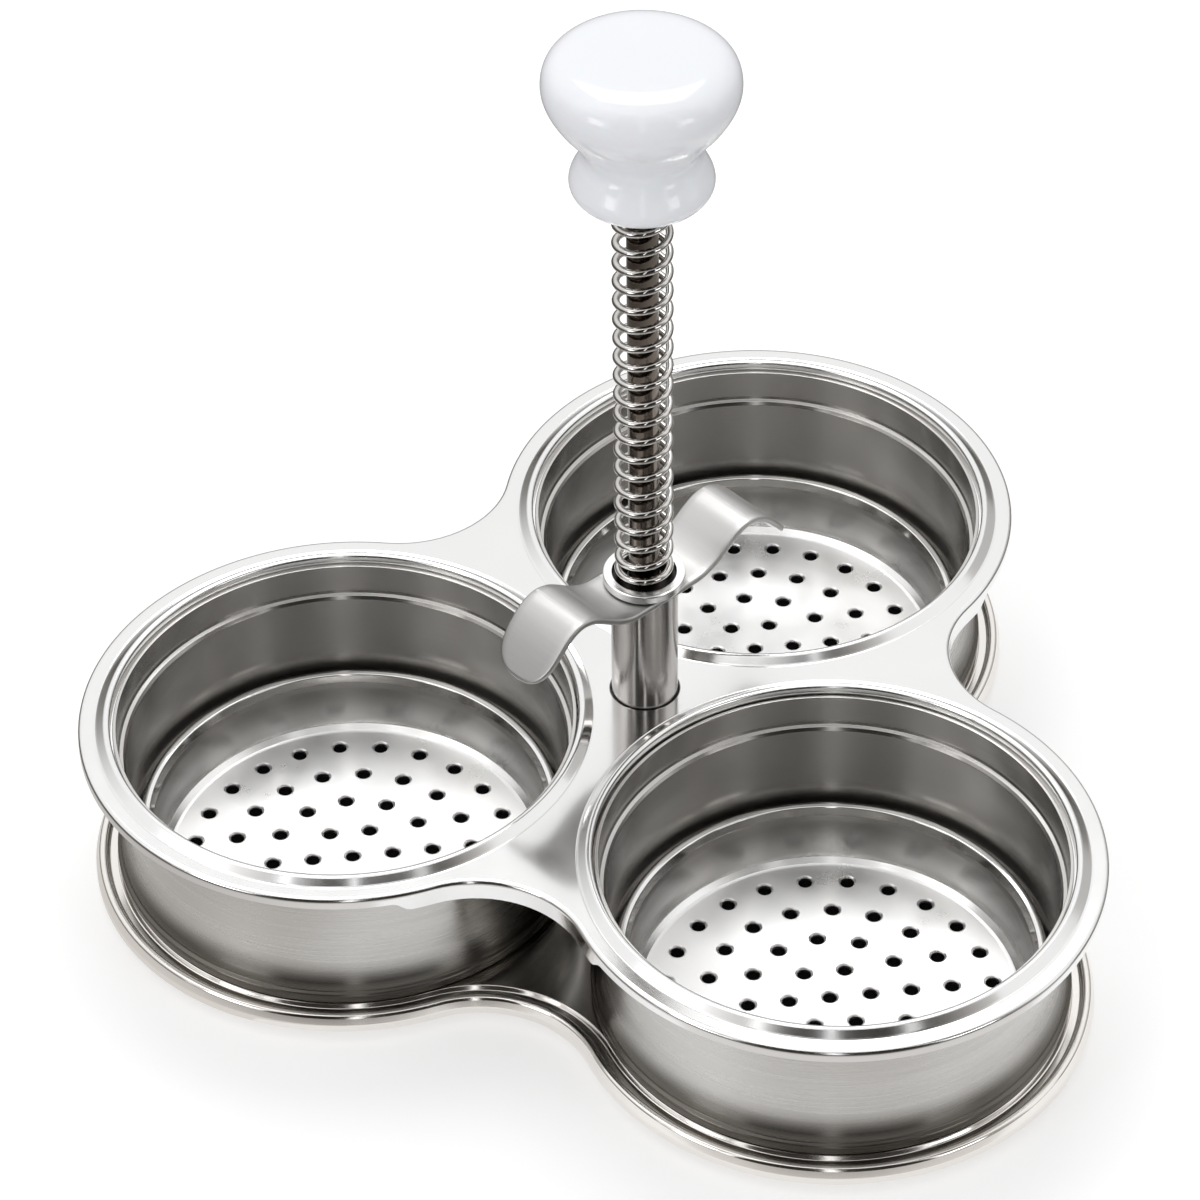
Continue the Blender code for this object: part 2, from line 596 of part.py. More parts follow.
def build_stand(frame):
    """Everything that stays on the table: dishes, tray, rod, knob and spring."""
    mirror = make_material("mirror_steel", (0.78, 0.77, 0.76), 0.08, 1.0)
    bright = make_material("bright_pressed_steel", (0.72, 0.71, 0.69), 0.18, 1.0)
    zinc = make_material("zinc_plated_steel", (0.62, 0.62, 0.60), 0.35, 1.0)
    wire = make_material("spring_wire", (0.68, 0.66, 0.63), 0.16, 1.0)
    white = make_material("glossy_white_plastic", (0.86, 0.88, 0.92), 0.12, 0.0)
    brass = make_material("brass", (0.75, 0.56, 0.25), 0.3, 1.0)
    place("tray", tray_mesh(), frame, mirror)
    dish = dish_mesh()
    for side, azimuth in CUP_AZIMUTHS.items():
        place("dish_" + side, dish, frame, bright, cup_centre(azimuth))
    place("rod", rod_mesh(), frame, wire)
    place("base_washer", washer_mesh("base_washer", BORE_RADIUS, WASHER_RADIUS,
                                     WASHER_TOP - WASHER_SHEET, WASHER_SHEET), frame, zinc)
    place("base_nut", nut_mesh("base_nut", BASE_NUT_TOP - BASE_NUT_HEIGHT, BASE_NUT_HEIGHT), frame, zinc)
    place("clamp_nut", nut_mesh("clamp_nut", TRAY_FLOOR_HEIGHT + SEAT_GAP, CLAMP_NUT_HEIGHT), frame, zinc)
    place("spring", spring_curve(), frame, wire)
    place("spring_cap", washer_mesh("spring_cap", BORE_RADIUS, CAP_RADIUS, CAP_UNDERSIDE, CAP_SHEET),
          frame, zinc)
    place("knob", knob_mesh(), frame, white)
    place("knob_insert", washer_mesh("knob_insert", BORE_RADIUS, INSERT_RADIUS, KNOB_UNDERSIDE,
                                     INSERT_LENGTH), frame, brass)


def build_lifter(frame):
    """Everything that the finger grip lifts: plate, rings, tube, bushes and the grip itself."""
    mirror = make_material("polished_plate_steel", (0.80, 0.79, 0.78), 0.06, 1.0)
    brushed = make_material("brushed_ring_steel", (0.66, 0.64, 0.62), 0.24, 1.0)
    satin = make_material("satin_grip_steel", (0.70, 0.70, 0.69), 0.32, 1.0)
    nylon = make_material("natural_nylon", (0.82, 0.81, 0.76), 0.45, 0.0)
    place("top_plate", plate_mesh(), frame, mirror)
    ring = ring_mesh()
    for side, azimuth in CUP_AZIMUTHS.items():
        place("ring_" + side, ring, frame, brushed, cup_centre(azimuth))
    place("guide_tube", washer_mesh("guide_tube", TUBE_RADIUS - TUBE_WALL, TUBE_RADIUS, TUBE_BOTTOM,
                                    TUBE_TOP - TUBE_BOTTOM), frame, mirror)
    place("tube_flange", washer_mesh("tube_flange", TUBE_RADIUS + SEAT_GAP, FLANGE_RADIUS,
                                     PLATE_UNDERSIDE - SEAT_GAP - FLANGE_HEIGHT, FLANGE_HEIGHT),
          frame, satin)
    place("lower_bush", lower_bush_mesh(), frame, nylon)
    grip = place("finger_grip", grip_mesh(), frame, satin)
    cut_grip_hole(grip, frame)
    place("spring_seat", spring_seat_mesh(), frame, mirror)


clear_scene()
build_stand(make_frame("stand_frame"))
build_lifter(make_frame("lifter_frame"))
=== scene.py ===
"""Looks of the three-cup egg poacher: pressed, brushed and polished steel with a white knob.

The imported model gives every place. The sections follow the poacher as it is put together: the tray
and its dishes, the rod, the rings and the plate that slide on it, the grip, the spring and the knob.
"""
from functools import partialmethod
from math import asin, atan2, cos, hypot, pi, radians, sin, sqrt, tan

import bmesh
import bpy
from mathutils import Matrix, Vector


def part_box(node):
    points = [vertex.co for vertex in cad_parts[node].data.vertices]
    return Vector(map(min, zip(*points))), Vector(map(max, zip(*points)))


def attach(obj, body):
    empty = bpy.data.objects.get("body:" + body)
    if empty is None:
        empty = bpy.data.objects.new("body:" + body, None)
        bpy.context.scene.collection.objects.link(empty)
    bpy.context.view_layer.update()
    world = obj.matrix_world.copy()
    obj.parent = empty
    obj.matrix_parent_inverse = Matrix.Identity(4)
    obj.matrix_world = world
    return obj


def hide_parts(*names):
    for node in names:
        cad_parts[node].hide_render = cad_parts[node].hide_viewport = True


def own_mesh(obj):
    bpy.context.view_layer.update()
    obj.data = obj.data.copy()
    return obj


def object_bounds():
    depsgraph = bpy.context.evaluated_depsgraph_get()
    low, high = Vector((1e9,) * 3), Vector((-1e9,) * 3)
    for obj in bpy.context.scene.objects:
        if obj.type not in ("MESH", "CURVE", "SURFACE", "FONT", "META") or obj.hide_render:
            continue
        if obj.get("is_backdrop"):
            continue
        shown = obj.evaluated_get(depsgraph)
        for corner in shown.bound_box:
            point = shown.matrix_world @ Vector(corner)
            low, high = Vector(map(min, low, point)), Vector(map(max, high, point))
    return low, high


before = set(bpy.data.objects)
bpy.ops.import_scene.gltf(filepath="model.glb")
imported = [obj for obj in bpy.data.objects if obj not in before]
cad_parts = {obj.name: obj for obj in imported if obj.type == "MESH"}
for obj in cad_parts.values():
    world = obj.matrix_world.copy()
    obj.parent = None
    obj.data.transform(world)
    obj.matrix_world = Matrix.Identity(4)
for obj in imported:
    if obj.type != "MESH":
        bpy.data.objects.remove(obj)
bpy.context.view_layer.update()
MM = 0.001

# The studio is a white floor under a white sky, with soft lamps and grey cards round the poacher.
# The cards show in the steel alone, as the dark lines that give polished metal its shape. Small black
# discs under the dishes are painted shade, so that the perforations look down on something dark.
rod_low, rod_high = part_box("rod")
rod_axis = Vector(((rod_low.x + rod_high.x) / 2, (rod_low.y + rod_high.y) / 2, 0))
plate_height = 36.5 * MM
studio_centre = rod_axis + Vector((0, 0, plate_height))


def wire(tree, kind, inputs, **settings):
    """New node whose inputs take a value, an amount, a node's first output or another node's socket."""
    made = tree.nodes.new(kind if "Node" in kind else "ShaderNode" + kind)
    for key, value in settings.items():
        setattr(made, key, value)
    for key, value in inputs.items():
        if isinstance(value, Amount):
            value = value.source
        if isinstance(value, bpy.types.Node):
            value = value.outputs[0]
        if isinstance(value, bpy.types.NodeSocket):
            tree.links.new(value, made.inputs[key])
        else:
            made.inputs[key].default_value = value
    return made


class Amount:
    """A number in a node tree. Plain arithmetic with it adds the math nodes."""

    def __init__(self, tree, source):
        self.tree, self.source = tree, source

    def step(self, operation, *others):
        numbers = dict(enumerate((self, *others)))
        return Amount(self.tree, wire(self.tree, "Math", numbers, operation=operation))

    __add__, __sub__ = partialmethod(step, "ADD"), partialmethod(step, "SUBTRACT")
    __mul__, __truediv__ = partialmethod(step, "MULTIPLY"), partialmethod(step, "DIVIDE")
    __pow__ = partialmethod(step, "POWER")


def ramp(tree, value, low, high, start=0.0, stop=1.0, **settings):
    """Value moved from the range low to high into the range start to stop."""
    return Amount(tree, wire(tree, "MapRange", {
        "Value": value, "From Min": low, "From Max": high, "To Min": start, "To Max": stop}, **settings))


def blend(tree, share, first, second):
    """Colour between two others."""
    return wire(tree, "Mix", {"Factor": share, "A": first, "B": second}, data_type="RGBA").outputs["Result"]


def object_place(tree):
    return wire(tree, "TexCoord", {}).outputs["Object"]


def new_material(name):
    made = bpy.data.materials.new(name)
    made.use_nodes = True
    made.node_tree.nodes.clear()
    return made


def shown_to_camera_and_gloss(tree):
    """1 for rays from the camera and for those that gloss or glass sends on, else 0."""
    path = wire(tree, "LightPath", {}).outputs
    seen = Amount(tree, path["Is Camera Ray"]).step("MAXIMUM", path["Is Glossy Ray"])
    return seen.step("MAXIMUM", path["Is Transmission Ray"])


def link_object(name, mesh, finish=None):
    if finish is not None:
        mesh.materials.append(finish)
    made = bpy.data.objects.new(name, mesh)
    bpy.context.scene.collection.objects.link(made)
    return made


def flat_mesh(name, corners):
    mesh = bpy.data.meshes.new(name)
    mesh.from_pydata(corners, [], [range(len(corners))])
    return mesh


sky_fill = 0.72
sky = bpy.data.worlds.new("white_studio")
bpy.context.scene.world = sky
sky.use_nodes = True
sky.node_tree.nodes.clear()
sky_strength = ramp(sky.node_tree, shown_to_camera_and_gloss(sky.node_tree), 0.0, 1.0, sky_fill, 1.0)
sky_light = wire(sky.node_tree, "Background", {"Color": (1, 1, 1, 1), "Strength": sky_strength})
wire(sky.node_tree, "OutputWorld", {"Surface": sky_light})

floor_half_width = 4.0
floor_shade, floor_lift = 0.66, 0.43
floor_finish = new_material("white_floor")
floor_tree = floor_finish.node_tree
floor_paint = wire(floor_tree, "BsdfDiffuse", {"Color": (floor_shade, floor_shade, floor_shade, 1)})
floor_glow = wire(floor_tree, "Emission", {"Strength": shown_to_camera_and_gloss(floor_tree) * floor_lift})
floor_both = wire(floor_tree, "AddShader", {0: floor_paint, 1: floor_glow})
wire(floor_tree, "OutputMaterial", {"Surface": floor_both})
floor_corners = [(x * floor_half_width, y * floor_half_width, -0.1 * MM)
                 for x, y in ((-1, -1), (1, -1), (1, 1), (-1, 1))]
link_object("studio_floor", flat_mesh("studio_floor", floor_corners), floor_finish)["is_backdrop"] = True

# Painted shade: a near-black disc under each dish, seen only through its holes
disc_radius, disc_height, disc_sides = 32 * MM, -0.05 * MM, 48
disc_shade = 0.004
shade_disc_finish = new_material("painted_shade_black")
shade_disc_paint = wire(shade_disc_finish.node_tree, "BsdfDiffuse", {"Color": (disc_shade, disc_shade, disc_shade, 1)})
wire(shade_disc_finish.node_tree, "OutputMaterial", {"Surface": shade_disc_paint})


def circle(radius, height, count, centre):
    return [(centre.x + radius * cos(2 * pi * i / count), centre.y + radius * sin(2 * pi * i / count),
             height) for i in range(count)]


cup_centres = {}
for side in ("left", "front", "back"):
    low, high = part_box("dish_" + side)
    cup_centres[side] = Vector(((low.x + high.x) / 2, (low.y + high.y) / 2, 0))
    disc_edge = circle(disc_radius, disc_height, disc_sides, cup_centres[side])
    link_object("painted_shade_disc_" + side, flat_mesh("painted_shade_disc_" + side, disc_edge), shade_disc_finish)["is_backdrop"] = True


def towards(azimuth, elevation):
    """Direction from the poacher: azimuth 0 is +Y, the far side, and 90 is +X, the right."""
    a, e = radians(azimuth), radians(elevation)
    return Vector((sin(a) * cos(e), cos(a) * cos(e), sin(e)))


# Each lamp: azimuth, elevation, distance, width, height and power
LAMPS = {"key_left": (-105, 60, 1.4, 1.0, 1.0, 1.5),
         "back_high": (5, 64, 1.2, 0.7, 0.5, 3.9),
         "glint_left": (-123, 16, 1.2, 0.34, 0.42, 1.8),
         "glint_right": (137, 16, 1.2, 0.30, 0.36, 1.1)}
for name, (azimuth, elevation, distance, width, height, power) in LAMPS.items():
    lamp = bpy.data.lights.new(name, "AREA")
    lamp.shape = "RECTANGLE"
    lamp.size, lamp.size_y = width, height
    lamp.energy = power
    holder = bpy.data.objects.new(name, lamp)
    bpy.context.scene.collection.objects.link(holder)
    away = towards(azimuth, elevation)
    holder.location = studio_centre + away * distance
    holder.rotation_mode = "QUATERNION"
    holder.rotation_quaternion = away.to_track_quat("Z", "Y")
    holder.visible_camera = False


def card_finish(name, near_shade, far_shade, near=0.0, far=1.0, coordinate=None):
    """Glow that goes from one shade to another as a coordinate function goes from near to far."""
    made = new_material(name)
    tree = made.node_tree
    place = object_place(tree)
    share = ramp(tree, coordinate(tree, place) if coordinate else 0.0, near, far,
                 interpolation_type="SMOOTHSTEP")
    glow = wire(tree, "Emission", {"Color": blend(tree, share, (*near_shade, 1), (*far_shade, 1))})
    wire(tree, "OutputMaterial", {"Surface": glow})
    return made


def card(name, place, columns, rows, *shades, **fade):
    """Card that only shows in gloss, a grid whose points are place(column share, row share)."""
    corners = [place(i / columns, j / rows) for i in range(columns + 1) for j in range(rows + 1)]
    faces = [(k, k + 1, k + rows + 2, k + rows + 1) for i in range(columns)
             for k in range(i * (rows + 1), i * (rows + 1) + rows)]
    mesh = bpy.data.meshes.new(name)
    mesh.from_pydata(corners, [], faces)
    made = link_object(name, mesh, card_finish(name, *shades, **fade))
    made.visible_camera = made.visible_diffuse = made.visible_shadow = made.visible_transmission = False
    made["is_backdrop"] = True


def standing_card(name, azimuths, elevations, distance, *rest, **fade):
    """Card bent round the poacher between two azimuths and two elevations."""
    (start, stop), (low, high) = azimuths, elevations
    card(name, lambda u, v: studio_centre + towards(start + (stop - start) * u,
                                                    low + (high - low) * v) * distance, *rest, **fade)


# A curved card stands behind the camera, dark in the middle and lighter to its sides. Three narrow
# bright ones before it make the upright streaks in the walls.
surround_azimuths, surround_elevations = (-250, -108), (-6, 66)
surround_middle = towards(sum(surround_azimuths) / 2, 0)


def off_middle(tree, place):
    flat = wire(tree, "VectorMath", {0: place, 1: (1, 1, 0)}, operation="MULTIPLY")
    unit = wire(tree, "VectorMath", {0: flat}, operation="NORMALIZE")
    return wire(tree, "VectorMath", {0: unit, 1: surround_middle}, operation="DOT_PRODUCT").outputs["Value"]


standing_card("surround", surround_azimuths, surround_elevations, 1.8, 32, 16, (0.026, 0.022, 0.018),
              (0.62, 0.60, 0.58), near=0.80, far=0.25, coordinate=off_middle)
for name, azimuths, shade in (("stripe_middle", (-176, -171), 1.5), ("stripe_left", (-138, -132), 1.2),
                              ("stripe_right", (-217, -211), 1.2)):
    standing_card(name, azimuths, surround_elevations, 1.76, 4, 16, (shade,) * 3, (shade,) * 3)

# A grey card stands at the back right, and a low one, darker at its foot, makes the far horizon
standing_card("back_right", (38, 72), (8, 32), 1.7, 8, 8, (0.55, 0.54, 0.53), (0.5, 0.5, 0.5))
standing_card("horizon", (-106, 94), (-6, 28), 1.75, 40, 4, (0.20, 0.19, 0.18), (0.92, 0.92, 0.92),
              near=0.12, far=0.85, coordinate=lambda tree, place: wire(tree, "SeparateXYZ", {
                  0: place}).outputs["Z"])

# The floor turns dark in the gloss a hand's width away from the poacher
apron_centre = rod_axis + Vector((24 * MM, 2 * MM, 0.3 * MM))
apron_inner, apron_outer = 112 * MM, 1.7
card("apron", lambda u, v: apron_centre + towards(360 * u, 0) * (
    apron_inner + (apron_outer - apron_inner) * v ** 2), 96, 8, (0.76, 0.74, 0.72), (0.09, 0.08, 0.07),
     near=apron_inner, far=apron_inner * 2, coordinate=lambda tree, place: wire(
         tree, "VectorMath", {0: place, 1: apron_centre}, operation="DISTANCE").outputs["Value"])

# The camera stands where the photograph was taken, 0.91 m from the rod with a long lens. Its place
# and aim are measured from the rod at the plate's top face, in a frame turned to face the camera.
camera_distance = 912.1 * MM
camera_elevation, camera_turn, camera_roll = radians(42.276), radians(-7.011), radians(-0.766)
camera_aim = Vector((-8.2, 23.9, 0)) * MM
focal_pixels, photo_pixels = 5033.1, 1200
camera_data = bpy.data.cameras.new("photo_camera")
camera = bpy.data.objects.new("photo_camera", camera_data)
bpy.context.scene.collection.objects.link(camera)
bpy.context.scene.camera = camera
camera_data.lens = camera_data.sensor_width * focal_pixels / photo_pixels
turn = Matrix.Rotation(camera_turn, 3, "Z")
camera_back = Vector((0, -cos(camera_elevation), sin(camera_elevation))) * camera_distance
forward = (camera_aim - camera_back).normalized()
level = forward.cross(Vector((0, 0, 1))).normalized()
upward = level.cross(forward)
rolled_right = level * cos(camera_roll) + upward * sin(camera_roll)
rolled_up = upward * cos(camera_roll) - level * sin(camera_roll)
camera_axes = Matrix((rolled_right, rolled_up, -forward)).transposed()
camera.matrix_world = (Matrix.Translation(studio_centre + turn @ camera_back)
                       @ (turn @ camera_axes).to_4x4())
bpy.context.scene.view_settings.view_transform = "Standard"

# The tray is one pressed sheet of bright steel with a rolled rim, a channel inside it and a raised
# floor with three openings for the dishes. Its finish is polished, with the faint waves that
# pressing leaves and small rubbed marks.
SHARP = radians(50)


def rounded(corners, steps=5, closed=True):
    """Points of a profile whose corners (x, y, radius) are rounded, with a point held on each side."""
    points = []
    last = len(corners) - 1
    for i, (x, y, radius) in enumerate(corners):
        here = Vector((x, y))
        if radius == 0 or (not closed and i in (0, last)):
            points.append(here)
            continue
        before = Vector(corners[i - 1][:2]) - here
        after = Vector(corners[(i + 1) % len(corners)][:2]) - here
        half = before.angle(after) / 2
        cut = min(radius / tan(half), before.length * 0.46, after.length * 0.46)
        hold = min(cut * 1.25, before.length * 0.49, after.length * 0.49)
        start, end = here + before.normalized() * cut, here + after.normalized() * cut
        points.append(here + before.normalized() * hold)
        for k in range(steps + 1):
            t = k / steps
            points.append(start * (1 - t) ** 2 + here * (2 * t * (1 - t)) + end * t ** 2)
        points.append(here + after.normalized() * hold)
    return points


def finished(name, bm, finish, sharp=SHARP):
    """Close a bmesh into a smooth-shaded piece whose faces point outwards."""
    bmesh.ops.recalc_face_normals(bm, faces=bm.faces)
    mesh = bpy.data.meshes.new(name)
    bm.to_mesh(mesh)
    bm.free()
    mesh.shade_smooth()
    mesh.set_sharp_from_angle(angle=sharp)
    for face in mesh.polygons:
        face.use_smooth = abs(face.normal.z) < 0.99999
    return link_object(name, mesh, finish)


def add_loop(bm, points):
    return [bm.verts.new(point) for point in points]


def bridge_chain(bm, loops):
    for first, second in zip(loops, loops[1:]):
        for i in range(len(first)):
            j = (i + 1) % len(first)
            bm.faces.new((first[i], first[j], second[j], second[i]))


def fill(bm, loops):
    """Flat face inside the first loop, open inside the others."""
    edges = []
    for loop in loops:
        for i in range(len(loop)):
            pair = (loop[i], loop[(i + 1) % len(loop)])
            edges.append(bm.edges.get(pair) or bm.edges.new(pair))
    bmesh.ops.triangle_fill(bm, use_beauty=True, use_dissolve=False, edges=edges)


cup_distance = (cup_centres["left"] - rod_axis).length
cup_azimuths = sorted(atan2((c - rod_axis).y, (c - rod_axis).x) % (2 * pi) for c in cup_centres.values())
lobe_step = radians(2.5)
waist_steps, drop_steps, deep_steps = 18, 4, 3
skirt_drop_angles = (radians(95.3), radians(99.1))


def trefoil(lobe_radius, waist_radius, inset):
    """Three lobes joined by hollow waists, as (x, y, how far into the waist's deeper skirt)."""
    across = cup_distance * sin(pi / 3)
    reach = cup_distance * cos(pi / 3) + sqrt((lobe_radius + waist_radius) ** 2 - across ** 2)
    tangent = atan2(reach * sin(pi / 3), reach * cos(pi / 3) - cup_distance)
    sweep = asin(across / (lobe_radius + waist_radius))
    notch, deep = skirt_drop_angles
    half = [i * lobe_step for i in range(int(notch / lobe_step) + 1)] + [notch]
    half += [notch + (deep - notch) * i / drop_steps for i in range(1, drop_steps + 1)]
    half += [deep + (tangent - deep) * i / deep_steps for i in range(1, deep_steps + 1)]
    points = []
    for azimuth in cup_azimuths:
        centre = rod_axis + Vector((cos(azimuth), sin(azimuth), 0)) * cup_distance
        for angle in [-a for a in reversed(half[1:])] + half:
            share = min(max((abs(angle) - notch) / (deep - notch), 0.0), 1.0)
            points.append((centre.x + (lobe_radius - inset) * cos(azimuth + angle),
                           centre.y + (lobe_radius - inset) * sin(azimuth + angle),
                           share * share * (3 - 2 * share)))
        bisector = azimuth + pi / 3
        for i in range(1, waist_steps):
            angle = bisector + pi + sweep * (1 - 2 * i / waist_steps)
            points.append((rod_axis.x + reach * cos(bisector) + (waist_radius + inset) * cos(angle),
                           rod_axis.y + reach * sin(bisector) + (waist_radius + inset) * sin(angle), 1.0))
    return points


def node_group(name, kind, inputs, outputs):
    """Node group with named inputs and outputs of these socket kinds, and the amounts that go in."""
    group = bpy.data.node_groups.new(name, kind)
    for way, sockets in (("INPUT", inputs), ("OUTPUT", outputs)):
        for label, socket in sockets.items():
            group.interface.new_socket(label, in_out=way, socket_type="NodeSocket" + socket)
    return group, {socket.name: Amount(group, socket) for socket in wire(group, "NodeGroupInput", {}).outputs}


def noise(tree, place, scale, detail, **inputs):
    return wire(tree, "TexNoise", {"Vector": place, "Scale": scale, "Detail": detail, **inputs})


# Rubbed marks: cloudy smudges and short fine scratches, as handling and washing leave
rubbed, given = node_group(
    "rubbed_marks", "ShaderNodeTree", {"Vector": "Vector", "Cloud Size": "Float", "Scratch Size": "Float"},
    {"Cloud": "Float", "Scratch": "Float"})
cloud = noise(rubbed, given["Vector"], Amount(rubbed, 1.0) / given["Cloud Size"], 4.0, Roughness=0.6)
shift = wire(rubbed, "VectorMath", {0: cloud.outputs["Color"], 3: 0.01}, operation="SCALE")
bent = wire(rubbed, "VectorMath", {0: given["Vector"], 1: shift}, operation="ADD")
cells = wire(rubbed, "TexVoronoi", {"Vector": bent, "Scale": Amount(rubbed, 1.0) / given["Scratch Size"]},
             feature="DISTANCE_TO_EDGE")
scratch = ramp(rubbed, cells, 0.0, 0.02, 1.0, 0.0) * ramp(rubbed, cloud, 0.5, 0.65)
wire(rubbed, "NodeGroupOutput", {"Cloud": cloud, "Scratch": scratch})

cloud_size, scratch_size, scratch_roughness = 14 * MM, 5 * MM, 0.004
noise_range = (0.3, 0.7)


def shaded(tree, colour, roughness, height, depth, strength=1.0, **sockets):
    """End of a material. The sockets' names have _ for a space."""
    bump = wire(tree, "Bump", {"Height": height, "Distance": depth, "Strength": strength})
    named = {name.replace("_", " "): value for name, value in sockets.items()}
    shader = wire(tree, "BsdfPrincipled", {"Base Color": colour, "Roughness": roughness, "Normal": bump,
                                           **named})
    wire(tree, "OutputMaterial", {"Surface": shader})


def tinted(colour, share):
    return (*(c * share for c in colour), 1)


def polished_steel(name, colour, roughness, wave=0.012 * MM, wave_size=16 * MM, sag=0):
    """Polished pressed steel: nearly a mirror, with soft waves and rubbed marks. Sag is the slope for
    each millimetre from the middle of the finish map, where a floor is slightly hollow."""
    made = new_material(name)
    tree = made.node_tree
    place = object_place(tree)
    marks = wire(tree, "Group", {"Vector": place, "Cloud Size": cloud_size, "Scratch Size": scratch_size},
                 node_tree=rubbed).outputs
    rough = ramp(tree, marks["Cloud"], *noise_range, roughness * 0.8, roughness * 1.25)
    height = Amount(tree, noise(tree, place, 1 / wave_size, 1.0)) * wave
    if sag:
        flat = wire(tree, "UVMap", {}, uv_map="finish")
        out = wire(tree, "VectorMath", {0: flat, 1: flat}, operation="DOT_PRODUCT").outputs["Value"]
        height = Amount(tree, out) * (sag / (2 * MM)) + height
    shaded(tree, blend(tree, marks["Cloud"], tinted(colour, 1), tinted(colour, 0.94)),
           Amount(tree, marks["Scratch"]) * scratch_roughness + rough, height, 1.0, Metallic=1.0)
    return made


def fitted(piece, node, body="stand"):
    """Let a piece stand for its node, which is hidden, and move with its body."""
    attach(piece, body)
    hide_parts(node)


tray_finish = polished_steel("polished_tray_steel", (0.90, 0.87, 0.835), 0.13)
tray_lobe_radius, tray_waist_radius = 47.1 * MM, 20.9 * MM
tray_sheet = 0.8 * MM
tray_foot, tray_crest, tray_channel, tray_top = 2.8 * MM, 6.1 * MM, 4.6 * MM, 5.3 * MM
tray_rim_width, tray_channel_width = 2.2 * MM, 1.8 * MM
tray_opening_radius, tray_bore_radius = 37.0 * MM, 3.05 * MM
cup_turns, shaft_turns = 144, 48
tray_step = tray_rim_width + tray_channel_width
tray_under_top = tray_top - tray_sheet
tray_profile = [(tray_sheet, tray_foot, 0.1 * MM), (0, tray_foot, 0.25 * MM),
                (0, tray_crest - 1.9 * MM, 1.2 * MM), (0.75 * MM, tray_crest, 0.9 * MM),
                (tray_rim_width - 0.2 * MM, tray_crest, 0.6 * MM),
                (tray_rim_width + 0.2 * MM, tray_channel, 0.5 * MM),
                (tray_step, tray_channel, 0.35 * MM), (tray_step + 0.6 * MM, tray_top, 0.4 * MM),
                (tray_step + 2.0 * MM, tray_top, 0)]
tray_under = [(tray_step + 2.0 * MM, tray_under_top, 0), (tray_step + 0.7 * MM, tray_under_top, 0.3 * MM),
              (tray_step, tray_channel - tray_sheet, 0.3 * MM),
              (tray_sheet * 1.4, tray_channel - tray_sheet, 0.3 * MM),
              (tray_sheet, tray_foot + 0.2 * MM, 0)]


def trefoil_chain(bm, profile, lobe_radius, waist_radius):
    return [add_loop(bm, [(x, y, height) for x, y, waist in trefoil(lobe_radius, waist_radius, inset)])
            for inset, height in profile]


def circle_chain(bm, profile, centre, turns=cup_turns):
    return [add_loop(bm, circle(radius, height, turns, centre)) for radius, height in profile]


bm = bmesh.new()
above = trefoil_chain(bm, rounded(tray_profile, closed=False), tray_lobe_radius, tray_waist_radius)
below = trefoil_chain(bm, rounded(tray_under, closed=False), tray_lobe_radius, tray_waist_radius)
bridge_chain(bm, above)
bridge_chain(bm, below)
bridge_chain(bm, [below[-1], above[0]])
opening_profile = [(tray_opening_radius + 0.3 * MM, tray_top), (tray_opening_radius, tray_top - 0.15 * MM),
                   (tray_opening_radius, tray_under_top + 0.1 * MM),
                   (tray_opening_radius + 0.1 * MM, tray_under_top)]
openings = [circle_chain(bm, opening_profile, centre) for centre in cup_centres.values()]
openings.append(circle_chain(bm, [(tray_bore_radius, tray_top), (tray_bore_radius, tray_under_top)],
                             rod_axis, shaft_turns))
for chain in openings:
    bridge_chain(bm, chain)
fill(bm, [above[-1]] + [chain[0] for chain in openings])
fill(bm, [below[0]] + [chain[-1] for chain in openings])
fitted(finished("pressed_tray", bm, tray_finish), "tray")

# The dishes are drawn from thinner sheet: a rolled bright rim, a wall brushed round, a small fillet
# and a flat polished floor with rings of punched holes. They are pressed into the tray's openings
# between two ridges.
brushed, given = node_group(
    "brush_lines", "ShaderNodeTree", {"Vector": "Vector", "Line Length": "Float", "Line Width": "Float"},
    {"Lines": "Float", "Bands": "Float"})
split = wire(brushed, "SeparateXYZ", {0: given["Vector"]}).outputs
along = Amount(brushed, split["X"]) / given["Line Length"]
across = Amount(brushed, split["Y"]) / given["Line Width"]
fine = noise(brushed, wire(brushed, "CombineXYZ", {0: along, 1: across}), 1.0, 3.0, Roughness=0.7)
bands = noise(brushed, wire(brushed, "CombineXYZ", {0: along * 0.4, 1: across * 0.12}), 1.0, 2.0)
wire(brushed, "NodeGroupOutput", {"Lines": fine, "Bands": bands})


def brushed_steel(name, colour, roughness, anisotropy=0.85, groove=0.0008 * MM, line_length=26 * MM,
                  line_width=0.14 * MM, painted_foot_light=None):
    """Steel brushed along the finish map's first direction. Painted foot light is (colour, low, high): painted
    light or shade, the colour at the lower height, which is gone at the higher one."""
    made = new_material(name)
    tree = made.node_tree
    lines = wire(tree, "Group", {"Vector": wire(tree, "UVMap", {}, uv_map="finish"),
                                 "Line Length": line_length, "Line Width": line_width},
                 node_tree=brushed).outputs
    both = Amount(tree, lines["Bands"]) * 0.5 + Amount(tree, lines["Lines"]) * 0.5
    rough = ramp(tree, both, *noise_range, roughness * 0.85, roughness * 1.15)
    tint = blend(tree, lines["Lines"], tinted(colour, 1.05), tinted(colour, 0.93))
    # Painted light or shade towards the foot: below a height the steel's colour blends into another one
    if painted_foot_light:
        painted_foot_colour, low, high = painted_foot_light
        upright = wire(tree, "SeparateXYZ", {0: object_place(tree)}).outputs["Z"]
        own_tint_share = ramp(tree, upright, low, high, interpolation_type="SMOOTHSTEP")
        tint = blend(tree, own_tint_share, (*painted_foot_colour, 1), tint)
    tangent = wire(tree, "Tangent", {}, direction_type="UV_MAP", uv_map="finish")
    shaded(tree, tint, rough, lines["Lines"], groove, Metallic=1.0, Anisotropic=anisotropy,
           Anisotropic_Rotation=0.25, Tangent=tangent)
    return made


